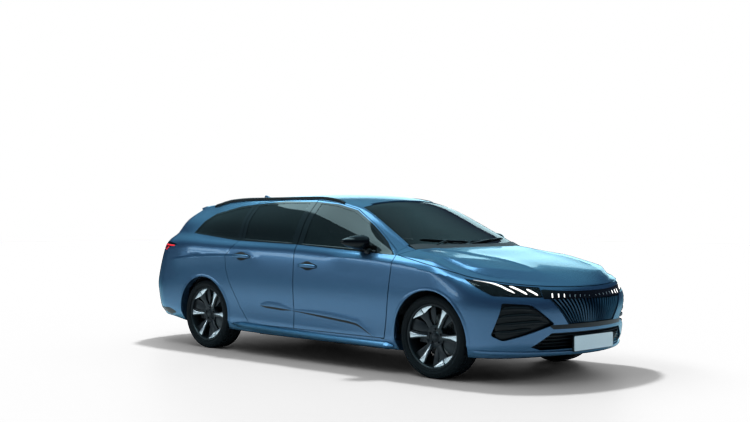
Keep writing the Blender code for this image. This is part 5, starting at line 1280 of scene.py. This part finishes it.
# Sill blades: body-coloured mouldings that stand out below the doors, and raised lips round the four wheel arches.
section = [
    (-0.034, -0.004), (0.034, -0.004), (0.034, 0.001), (0.026, 0.007), (-0.016, 0.044), (-0.027, 0.045),
    (-0.034, 0.036),
]
line = ((1.085, 0.212), (0.80, 0.216), (0.30, 0.222), (-0.30, 0.236), (-0.86, 0.256))
carried(strip("sill_blade_left", paint, line, section, steps=8, taper=0.05, smooth=50), "root")
LIP_RADIUS = ARCH_RADIUS + 0.011
section = [(-0.013, -0.002), (0.013, -0.002), (0.0115, 0.0052), (0.006, 0.0060), (-0.013, 0.0008)]
for axle, x in (("front", FRONT_AXLE_X), ("rear", REAR_AXLE_X)):
    angles = [math.radians(degrees) for degrees in range(-14, 195, 8)]
    line = [(x + LIP_RADIUS * math.cos(a), TYRE_RADIUS + LIP_RADIUS * math.sin(a)) for a in angles]
    carried(strip(axle + "_arch_lip_left", paint, line, section, steps=2, taper=0.04, smooth=30), "root")

# Door furniture: bowed pull handles in the body colour over dark finger cups of painted shade, and gloss black waist
# seals.
cup_shade_section, seal_section = rounded_bar(0.078, 0.0018, -0.003), rounded_bar(0.011, 0.0035, -0.004)
pull_section = [(-0.014, 0.0), (0.014, 0.0), (0.013, 0.006), (0.006, 0.0105), (-0.006, 0.0105), (-0.013, 0.006)]
for place, start, stop in (("front", (0.020, 0.815), (0.250, 0.808)), ("rear", (-0.835, 0.874), (-0.600, 0.868))):
    line, body = (start, ((start[0] + stop[0]) / 2, (start[1] + stop[1]) / 2), stop), place + "_door_left"
    # Each finger cup is a flat satin black patch on the skin: painted shade, not a recess.
    carried(strip(place + "_handle_cup_left", satin_black, line, cup_shade_section, steps=6, taper=0.45), body)
    pull = strip(
        place + "_handle_left", paint, line, pull_section, steps=8, taper=0.10, smooth=55,
        lift=lambda t: 0.002 + 0.024 * math.sin(math.pi * t) ** 0.6,
    )
    carried(pull, body)
for place, waist in (
    ("front", ((0.472, 0.686), (0.62, 0.674), (0.782, 0.658))),
    ("rear", ((0.188, 0.706), (0.30, 0.699), (0.424, 0.690))),
):
    seal = strip(place + "_waist_seal_left", gloss_black, side_outline(waist), seal_section, steps=8)
    carried(seal, place + "_door_left")

# Lower door crease: a low body-coloured blade across both doors, with a painted shadow in satin black under its edge.
crease_shadow_section = [(-0.017, -0.003), (0.008, -0.003), (0.008, 0.0020), (-0.004, 0.0020), (-0.017, 0.0004)]
blade_section = [
    (0.002, -0.003), (0.064, -0.004), (0.064, -0.0006), (0.040, 0.0026), (0.010, 0.0068), (0.003, 0.0058),
]
for place, line in (
    ("rear", ((-0.47, 0.443), (-0.30, 0.437), (-0.075, 0.4255))),
    ("front", ((-0.058, 0.4245), (0.22, 0.408), (0.50, 0.387), (0.66, 0.372), (0.74, 0.352), (0.90, 0.268))),
):
    body = place + "_door_left"
    # The satin black strip is painted shadow: the dark line that the blade's overhang would cast on the door.
    carried(strip(place + "_door_crease_left", satin_black, line, crease_shadow_section, steps=6, taper=0.25), body)
    carried(strip(place + "_door_blade_left", paint, line, blade_section, steps=6, taper=0.3, smooth=50), body)


# Door mirrors: gloss black shells that taper to a point outboard, a silvered glass behind, and a short black foot.
# Each shell is a row of rounded rings from the inboard end to the outboard tip.
def loft(rings, name, material, smooth):
    """A closed solid through a row of rings with equally many points."""
    bm = bmesh.new()
    rows = [[bm.verts.new(point) for point in ring] for ring in rings]
    for one, two in zip(rows, rows[1:]):
        for k in range(len(one)):
            bm.faces.new((one[k], one[k - 1], two[k - 1], two[k]))
    bm.faces.new(rows[0])
    bm.faces.new(rows[-1][::-1])
    bmesh.ops.recalc_face_normals(bm, faces=bm.faces)
    return placed(bm, name, material, smooth)


MIRROR_RINGS = (
    # place across, rear and front edge, half height, as shares of the car and of the shell's own height
    (0.9200, 0.7120, 0.7560, 0.72), (0.9260, 0.7085, 0.7600, 0.90), (0.9450, 0.7078, 0.7618, 0.97),
    (0.9773, 0.7070, 0.7606, 0.96), (1.0200, 0.7050, 0.7540, 0.84), (1.0600, 0.7030, 0.7420, 0.66),
    (1.0850, 0.7012, 0.7290, 0.48), (1.0990, 0.7000, 0.7180, 0.32), (1.1050, 0.6992, 0.7090, 0.18),
)
MIRROR_NODE = ("door_mirror_left",)
low, high = up(0.6657), up(0.7490)
rings = []
for share, rear, front, tall in MIRROR_RINGS:
    centre_x, centre_z = (along(rear) + along(front)) / 2 + 0.002, (low + high) / 2 + 0.006 * (1 - tall)
    wide, half = (along(front) - along(rear)) / 2, tall * (high - low) / 2
    ring = []
    for k in range(24):
        c, s = math.cos(math.tau * k / 24), math.sin(math.tau * k / 24)
        x = centre_x + wide * math.copysign(abs(c) ** (0.45 if c < 0 else 0.85), c)
        ring.append((x, across(share), centre_z + half * math.copysign(abs(s) ** 0.8, s)))
    rings.append(ring)
carried(loft(rings, "mirror_shell_left", gloss_black, 50), "front_door_left", MIRROR_NODE)
silver = turned_steel("mirror_silver", 0.7, ((0.80, 0.82, 0.84), (0.86, 0.88, 0.90)), 2)
middle, root_x, root_y, tip_y = (low + high) / 2, along(0.7072), across(0.936), across(1.078)
line = [
    (root_y, middle - 0.026), (root_y, middle + 0.028), (across(1.00), middle + 0.030),
    (across(1.052), middle + 0.022), (tip_y, middle + 0.008), (across(1.070), middle - 0.012),
    (across(1.01), middle - 0.026),
]
mirror_face = prism(rounded(line, 0.012, 3), root_x - 0.004, root_x + 0.010, "X", "mirror_glass_left")
for vert in mirror_face.data.vertices:
    vert.co.x += (along(0.7010) - root_x) * (vert.co.y - root_y) / (tip_y - root_y)
mirror_face.data.materials[0] = silver
carried(mirror_face, "front_door_left", MIRROR_NODE)
foot = bevelled(block((0.775, 0.79, 0.927), (0.828, 0.895, 0.968)), 0.015, 4)
cut(foot, body_solid(-0.0004))
foot.name = "mirror_foot_left"
foot.data.materials.clear()
foot.data.materials.append(satin_black)
carried(foot, "front_door_left", MIRROR_NODE)

# Roof rails: slim black extrusions close to the roof, and a small fin aerial in the body colour near the tailgate.
line = [(x, 0.588) for x in (0.265, 0.20, 0.05, -0.20, -0.60, -1.00, -1.30, -1.44, -1.49)]
section = [(-0.012, -0.012), (0.012, -0.012), (0.012, 0.002), (0.007, 0.008), (-0.007, 0.008), (-0.012, 0.002)]
rail = strip(
    "roof_rail_bar_left", satin_black, line, section, "top", smooth=50,
    lift=lambda t: 0.010 * min(1.0, 9 * t, 9 * (1 - t)) ** 0.7,
)
carried(rail, "root", ("roof_rail_left",))
base = on_skin((-1.35, 0.0), "top")[0].z
profile = ((-1.265, -0.002), (-1.33, 0.020), (-1.40, 0.050), (-1.425, 0.050), (-1.432, -0.004))
fin = prism(rounded([(x, base + z) for x, z in profile], 0.012, 3), -0.020, 0.020, "Y", "aerial_fin")
for vert in fin.data.vertices:
    vert.co.y *= 1 - 0.75 * max(0.0, (vert.co.z - base) / 0.052)
bevelled(fin, 0.003).data.materials[0] = paint
carried(fin, "root")

# Wipers: two black arms on the scuttle, each with a rubber blade that rests on the windscreen.
blade_section = [(-0.004, -0.004), (0.004, -0.004), (0.0035, 0.010), (-0.0035, 0.010)]
for k, (blade_line, arm_line) in enumerate((
    (((1.045, 0.58), (1.10, 0.38), (1.135, 0.18), (1.145, 0.0)), ((1.19, -0.06), (1.165, 0.10), (1.118, 0.29))),
    (((1.145, -0.03), (1.13, -0.20), (1.095, -0.38), (1.05, -0.53)), ((1.165, -0.46), (1.14, -0.36), (1.118, -0.27))),
)):
    arm_section = rounded_bar(0.012, 0.007)
    carried(strip(f"wiper_blade_{k + 1}", satin_black, blade_line, blade_section, "top", 6, taper=0.08), "root")
    carried(strip(f"wiper_arm_{k + 1}", satin_black, arm_line, arm_section, "top", 6, taper=0.2, lift=0.010), "root")

# Tail lamps: black housings that wrap from the sides on to the tailgate, with a red light line along the top and
# three slanted red bars at each side.
LAMP_DEPTH, LAMP_BACK, LIGHT_SINK = 0.002, 0.020, -0.0012
red_glow = new_material("red_light", (0.5, 0.008, 0.012), 0.2, more=glow((1.0, 0.03, 0.04), 0.7))
grained(red_glow, 180, ((0.38, 0.004, 0.008), (0.62, 0.015, 0.02)), (0.1, 0.2))
housing = layer(LAMP_DEPTH, LAMP_BACK, "tail_lamp_housing_left")
common(housing, prism(grown(side_outline(TAIL_LAMP_SHARES), -SEAM), FLANK, REACH, "Y"))
cut(housing, prism(grown(front_outline(TAILGATE_SHARES), SHUT_GAP), -FAR, GATE_GLASS_X, "X"))
finish_both(housing, gloss_black, "root", ("tail_lamp_left",), LAMP_DEPTH)
line_section, bar_section = rounded_bar(0.013, 0.003, -0.002), rounded_bar(0.012, 0.003, -0.002)
line = [(-1.735, 0.91, 0.957), (-1.85, 0.88, 0.955), (-1.98, 0.80, 0.953), (-2.08, 0.68, 0.951)]
lit_line = strip("tail_light_line_left", red_glow, line, line_section, steps=6, taper=0.08, lift=LIGHT_SINK)
carried(lit_line, "root", ("tail_lamp_left",))
for k, (y, x) in enumerate(((0.875, -1.87), (0.81, -1.965), (0.73, -2.045))):
    line = ((x + 0.02, y + 0.02, 0.938), (x, y, 0.920), (x - 0.012, y - 0.02, 0.902))
    bar = strip(f"tail_light_bar_{k + 1}_left", red_glow, line, bar_section, steps=3, lift=LIGHT_SINK)
    carried(bar, "root", ("tail_lamp_left",))
gate_bar = layer(LAMP_DEPTH, LAMP_BACK, "tailgate_light_housing")
common(gate_bar, prism(grown(front_outline(TAIL_BAR_SHARES), -SEAM), -FAR, GATE_BAR_X, "X"))
common(gate_bar, prism(front_outline(TAILGATE_SHARES), -FAR, GATE_BAR_X, "X"))
finish_panel(gate_bar, gloss_black, "tailgate", ("tail_light_bar",), LAMP_DEPTH)
line = ((-0.57, 0.951), (-0.30, 0.949), (0.0, 0.948), (0.30, 0.949), (0.57, 0.951))
lit_line = strip("tailgate_light_line", red_glow, line, line_section, "back", 6, lift=LIGHT_SINK)
carried(lit_line, "tailgate", ("tail_light_bar",))

# Tailgate furniture: a painted spoiler lip with the third stop lamp, a wiper, a blank plate and its lamp strip.
half_spoiler = [(0, 0.22, 0), (0.20, 0.215, 0.001), (0.40, 0.20, 0.004), (0.54, 0.16, 0.010), (0.575, 0.07, 0.020)]
rings = []
for y, reach, drop in [(-y, reach, drop) for y, reach, drop in half_spoiler[:0:-1]] + half_spoiler:
    start, out = on_skin((GATE_X - 0.016, y), "top")
    back = Vector((-out.z, 0, out.x)).normalized()
    tip = start + back * reach + Vector((0, 0, 0.012 - drop))
    foot = on_skin((start.x - 0.6 * reach, y), "top")[0]
    upper = [start + out * 0.0015, start.lerp(tip, 0.5) + out * 0.007, tip]
    rings.append(upper + [tip + Vector((0.004, 0, -0.014)), foot - Vector((0, 0, 0.004)), start - out * 0.005])
carried(loft(rings, "spoiler", paint, 35), "tailgate")
PLINTH = ((-0.062, -0.006), (0.062, -0.006), (0.060, 0.003), (-0.060, 0.003))
PLATE = (
    (-0.055, 0.002), (0.055, 0.002), (0.055, 0.0065), (0.052, 0.0065), (0.051, 0.0055), (-0.051, 0.0055),
    (-0.052, 0.0065), (-0.055, 0.0065),
)
for name, material, line, section, shape in (
    ("high_stop_lamp", red_glow, ((-0.15, 1.298), (0.0, 1.299), (0.15, 1.298)), rounded_bar(0.010, 0.006, -0.002),
     {"lift": 0.002}),
    ("rear_plate_plinth", satin_black, ((-0.268, 0.700), (0.0, 0.700), (0.268, 0.700)), PLINTH, {}),
    ("rear_plate", plate_white, ((-0.26, 0.700), (0.0, 0.700), (0.26, 0.700)), PLATE, {}),
    ("tailgate_grip", satin_black, ((-0.20, 0.790), (0.0, 0.791), (0.20, 0.790)), rounded_bar(0.030, 0.008, -0.002),
     {"taper": 0.1}),
    ("rear_wiper", satin_black, ((0.0, 1.055), (0.03, 1.085), (0.18, 1.105), (0.33, 1.112)),
     rounded_bar(0.012, 0.010), {"taper": 0.2, "lift": 0.004}),
):
    carried(strip(name, material, line, section, "back", 6, **shape), "tailgate")

# Rear bumper furniture: a black moulded valance with three fins, and a red reflector near each corner.
half_valance = [(0.0, 0.398), (0.46, 0.398), (0.60, 0.372), (0.66, 0.318), (0.62, 0.296), (0.0, 0.302)]
cover_piece("rear_valance", satin_black, -0.0012, 0.006, half_valance, "rear_bumper", -FAR, along(-0.6))
section = [(-0.005, -0.002), (0.005, -0.002), (0.002, 0.012), (-0.002, 0.012)]
for k, y in enumerate((-0.22, 0.0, 0.22)):
    line = ((y, 0.385), (y, 0.350), (y, 0.312))
    carried(strip(f"valance_fin_{k + 1}", satin_black, line, section, "back", 3), "root")
line = ((-2.19, 0.70, 0.440), (-2.22, 0.64, 0.441), (-2.245, 0.57, 0.442))
# The reflector glows in the lamps' red: a painted glow, since a reflector gives no light of its own.
carried(strip("reflector_left", red_glow, line, rounded_bar(0.018, 0.004, -0.002), taper=0.08), "root")
line = (
    (-1.74, 0.900, 0.300), (-1.86, 0.878, 0.308), (-2.04, 0.800, 0.320), (-2.16, 0.690, 0.332),
    (-2.225, 0.600, 0.340),
)
section = [(-0.040, -0.002), (0.040, -0.002), (0.038, 0.0018), (-0.038, 0.0018)]
carried(strip("rear_skirt_left", satin_black, line, section, taper=0.2), "root")


# Seats: foam pads under dark woven cloth with sewn channels, on moulded bases. The front pair carry headrests.
def woven(name, colour, light):
    """Dark cloth: two crossed yarn waves give its weave and height, and painted shade darkens it between the yarns'
    crowns.
    """
    material = new_material(name, colour, 0.85, more={"Sheen Weight": 0.25})
    tree = material.node_tree
    place = add_node(tree, "TexCoord").outputs["Object"]
    weave = tree.nodes.new("ShaderNodeMath")
    weave.operation = "MULTIPLY"
    for k, direction in enumerate(("X", "Y")):
        wave = add_node(tree, "TexWave", {"Vector": place, "Scale": 160, "Distortion": 0.8})
        wave.bands_direction = direction
        set_inputs(tree, weave, {k: wave.outputs["Fac"]})
    height = weave.outputs["Value"]
    # The colour follows the weave's height: lighter on the yarns' crowns, with painted shade in the hollows between
    # them.
    shade, normal = add_ramp(tree, height, ((0, colour), (1, light))), add_bump(tree, height, 0.35, 0.001)
    set_inputs(tree, tree.nodes["Principled BSDF"], {"Base Color": shade, "Normal": normal})
    return material


seat_cloth = woven("seat_cloth", (0.030, 0.031, 0.034), (0.075, 0.077, 0.083))


def tilted(thing, angle, pivot):
    """Leans a piece back about a place."""
    pivot = Vector(pivot)
    thing.data.transform(Matrix.Translation(pivot) @ Matrix.Rotation(angle, 4, "Y") @ Matrix.Translation(-pivot))


def fitted(thing, node, material=None):
    """Rides a cabin piece on the body for the node that it replaces, in a new material where asked."""
    if material:
        thing.data.materials[0] = material
    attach(thing, "root")
    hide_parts(node)


def pad(name, one, two, node, tilt=0.0, pivot=(0, 0, 0), channels=2, face="z"):
    """A crowned pad whose sides pull in between its corners, with sewn channels across its face."""
    bm = bmesh.new()
    bmesh.ops.create_cube(bm, size=2)
    bmesh.ops.subdivide_edges(bm, edges=bm.edges, cuts=11, use_grid_fill=True)
    low, high = ordered(one, two)
    half, middle = (high - low) / 2, (high + low) / 2
    for vert in bm.verts:
        u = vert.co.copy()
        thick, wide, long = (u.z, u.y, u.x) if face == "z" else (u.x, u.y, u.z)
        edge = 1 - 0.10 * (abs(long) ** 4 + abs(wide) ** 4)
        seams = [2 * (k + 1) / (channels + 1) - 1 for k in range(channels)]
        groove = math.exp(-(((abs(wide) - 0.62) / 0.06) ** 2))
        groove += sum(math.exp(-(((long - seam) / 0.05) ** 2)) for seam in seams)
        crown = (0.80 + 0.20 * math.cos(wide * math.pi / 2.6) * math.cos(long * math.pi / 2.6)) * edge
        crown -= 0.05 * groove * (abs(thick) > 0.95)
        pulled = 1 - 0.05 * (1 - long * long) * (abs(wide) ** 6)
        narrowed = 1 - 0.04 * (1 - wide * wide) * (abs(long) ** 6)
        scales = (narrowed, pulled, crown) if face == "z" else (crown, pulled, narrowed)
        vert.co = middle + Vector([a * b * c for a, b, c in zip(u, scales, half)])
    bmesh.ops.recalc_face_normals(bm, faces=bm.faces)
    thing = placed(bm, name, seat_cloth, 180)
    if tilt:
        tilted(thing, tilt, pivot)
    finer = thing.modifiers.new("finer", "SUBSURF")
    finer.levels = finer.render_levels = 1
    fitted(thing, node)


def at(shares, sign=1):
    return Vector((along(shares[0]), sign * across(shares[1]), up(shares[2])))


RECLINE, RECLINE_PIVOT = math.radians(-18), at((0.4381, 0.0, 0.3121))
for side, sign in (("left", 1), ("right", -1)):
    for part, low, high, tilt, channels, face in (
        ("cushion", (0.4345, 0.175, 0.262), (0.6321, 0.680, 0.3467), 0, 3, "z"),
        ("backrest", (0.4162, 0.1728, 0.300), (0.4601, 0.6803, 0.7143), RECLINE, 4, "x"),
        ("headrest", (0.4235, 0.2916, 0.7243), (0.4564, 0.5616, 0.8322), RECLINE, 0, "x"),
    ):
        name = f"front_{part}_{side}"
        pad(name, at(low, sign), at(high, sign), "front_seats", tilt, RECLINE_PIVOT, channels, face)
    base = block(at((0.4345, 0.20, 0.1947), sign), at((0.62, 0.66, 0.264), sign), f"front_seat_base_{side}")
    fitted(bevelled(base, 0.015, 3), "front_seats", satin_black)
    posts = [drum(at((0.4399, share, 0.7193), sign), (0, 0, 1), 0.006, 0.05, 12) for share in (0.36, 0.49)]
    posts = joined(posts, f"headrest_posts_{side}")
    tilted(posts, RECLINE, RECLINE_PIVOT)
    fitted(posts, "front_seats", silver)
low, high = at((0.4272, -0.1728, 0.1947)), at((0.6248, 0.1728, 0.3467))
clearance = Vector((0, 0.008, 0))
console = block(low + clearance, high - clearance, "centre_console")
fitted(bevelled(console, 0.02, 3), "front_seats", card)
half = across(0.6695)
for k, (start, stop) in enumerate(((-half, -half / 3), (-half / 3, half / 3), (half / 3, half))):
    start, stop = start + 0.002, stop - 0.002
    one, two = (along(0.158), start, up(0.255)), (along(0.3027), stop, up(0.3590))
    pad(f"bench_cushion_{k + 1}", one, two, "rear_bench")
    one, two = (along(0.0700), start, up(0.345)), (along(0.1120), stop, up(0.702))
    pad(f"bench_back_{k + 1}", one, two, "rear_bench", math.radians(-10), (along(0.1300), 0, up(0.345)), 3, "x")
outline = side_outline((
    (0.300, 0.1947), (0.300, 0.262), (0.150, 0.262), (0.150, 0.3340), (0.1240, 0.3340), (0.2078, 0.1947),
))
base = prism(outline, -half + 0.01, half - 0.01, "Y", "bench_base")
fitted(bevelled(base, 0.004), "rear_bench", card)

# Dashboard: a soft moulding the width of the cabin with a brow, two slim screens and air vents, and the column.
DASH_SHARES = (
    (0.7053, 0.44), (0.7053, 0.50), (0.722, 0.535), (0.716, 0.575), (0.735, 0.596), (0.800, 0.5955), (0.8365, 0.585),
    (0.8365, 0.432), (0.76, 0.4305),
)
dash_line = rounded(side_outline(DASH_SHARES), 0.02, 3)
dash = bevelled(prism(dash_line, across(-0.755), across(0.755), "Y", "dashboard_moulding"), 0.004)
fitted(dash, "dashboard", card)
screens = []
for (y1, z1), (y2, z2) in (((-0.14, 0.790), (0.14, 0.845)), ((0.26, 0.80), (0.48, 0.85))):
    outline = rounded([(y1, z1), (y2, z1), (y2, z2), (y1, z2)], 0.01, 3)
    screens.append(bevelled(prism(outline, along(0.708), along(0.716), "X", "screen"), 0.001))
fitted(joined(screens, "dash_screens"), "dashboard", gloss_black)
vents = []
for y in (-0.58, -0.22, 0.18, 0.60):
    vents.append(bevelled(block((along(0.7015), y - 0.06, 0.745), (along(0.709), y + 0.06, 0.765)), 0.003))
fitted(joined(vents, "dash_vents"), "dashboard", satin_black)
RAKE = math.radians(25)
down = Vector((math.cos(RAKE), 0, -math.sin(RAKE)))
WHEEL_CENTRE = Vector((along(0.642), across(0.40), up(0.625)))
column = drum(WHEEL_CENTRE + down * 0.125, down, 0.034, 0.189, 32, 0.045, "steering_column")
fitted(bevelled(column, 0.004), "dashboard", satin_black)

# Steering wheel: a grained rim over a steel ring, a padded boss and three spokes, turned on the column's end.
bm = bmesh.new()
made = bmesh.ops.create_circle(bm, segments=20, radius=0.014)["verts"]
bmesh.ops.rotate(bm, matrix=Matrix.Rotation(math.pi / 2, 3, "X"), verts=made)
bmesh.ops.translate(bm, vec=(0.175, 0, 0), verts=made)
around = {"axis": (0, 0, 1), "cent": (0, 0, 0), "angle": math.tau, "steps": 72, "use_merge": True}
bmesh.ops.spin(bm, geom=bm.verts[:] + bm.edges[:], **around)
bmesh.ops.remove_doubles(bm, verts=bm.verts, dist=0.0001)
bmesh.ops.recalc_face_normals(bm, faces=bm.faces)
ring = placed(bm, "steering_rim", card, 60)
boss_line = [(-0.05, -0.055), (0.05, -0.055), (0.06, 0.0), (0.05, 0.05), (-0.05, 0.05), (-0.06, 0.0)]
boss = bevelled(prism(rounded(boss_line, 0.02, 4), -0.028, 0.022, "Z", "boss"), 0.006, 3)
spokes = []
for one, two in (
    ((0.045, -0.016, -0.008), (0.170, 0.016, 0.006)), ((-0.045, -0.016, -0.008), (-0.170, 0.016, 0.006)),
    ((-0.014, -0.170, -0.008), (0.014, -0.045, 0.006)),
):
    spokes.append(bevelled(block(one, two), 0.004))
wheel = joined([ring, boss] + spokes, "steering_wheel_rim")
upright = Matrix(((0, 0, 1), (1, 0, 0), (0, 1, 0))).to_4x4()
wheel.data.transform(Matrix.Translation(WHEEL_CENTRE) @ Matrix.Rotation(RAKE, 4, "Y") @ upright)
carried(wheel, "steering_wheel", ("steering_wheel",))

# What stays as its solid gets its own finish: cast and pressed steel below, and moulded plastic elsewhere.
CHASSIS = (
    "front_structure", "front_suspension", "rear_axle", "front_knuckle_left", "front_knuckle_right", "drive_unit",
)
steel = new_material("chassis_steel", (0.09, 0.09, 0.095), 0.5, 0.8)
grained(steel, 60, ((0.05, 0.05, 0.053), (0.12, 0.12, 0.125)), (0.4, 0.65), 0.15)
plastic = new_material("moulded_plastic", (0.02, 0.02, 0.022), 0.6)
grained(plastic, 300, ((0.014, 0.014, 0.016), (0.03, 0.03, 0.032)), (0.5, 0.7), 0.2)
for name, solid in frame["nodes"].items():
    solid.data.materials.clear()
    solid.data.materials.append(steel if name in CHASSIS else plastic)

# Every new piece is gone through once more, all but the floor and the imported solids.
for piece in list(bpy.data.objects):
    if piece.type != "MESH" or piece == floor or piece in frame["nodes"].values():
        continue
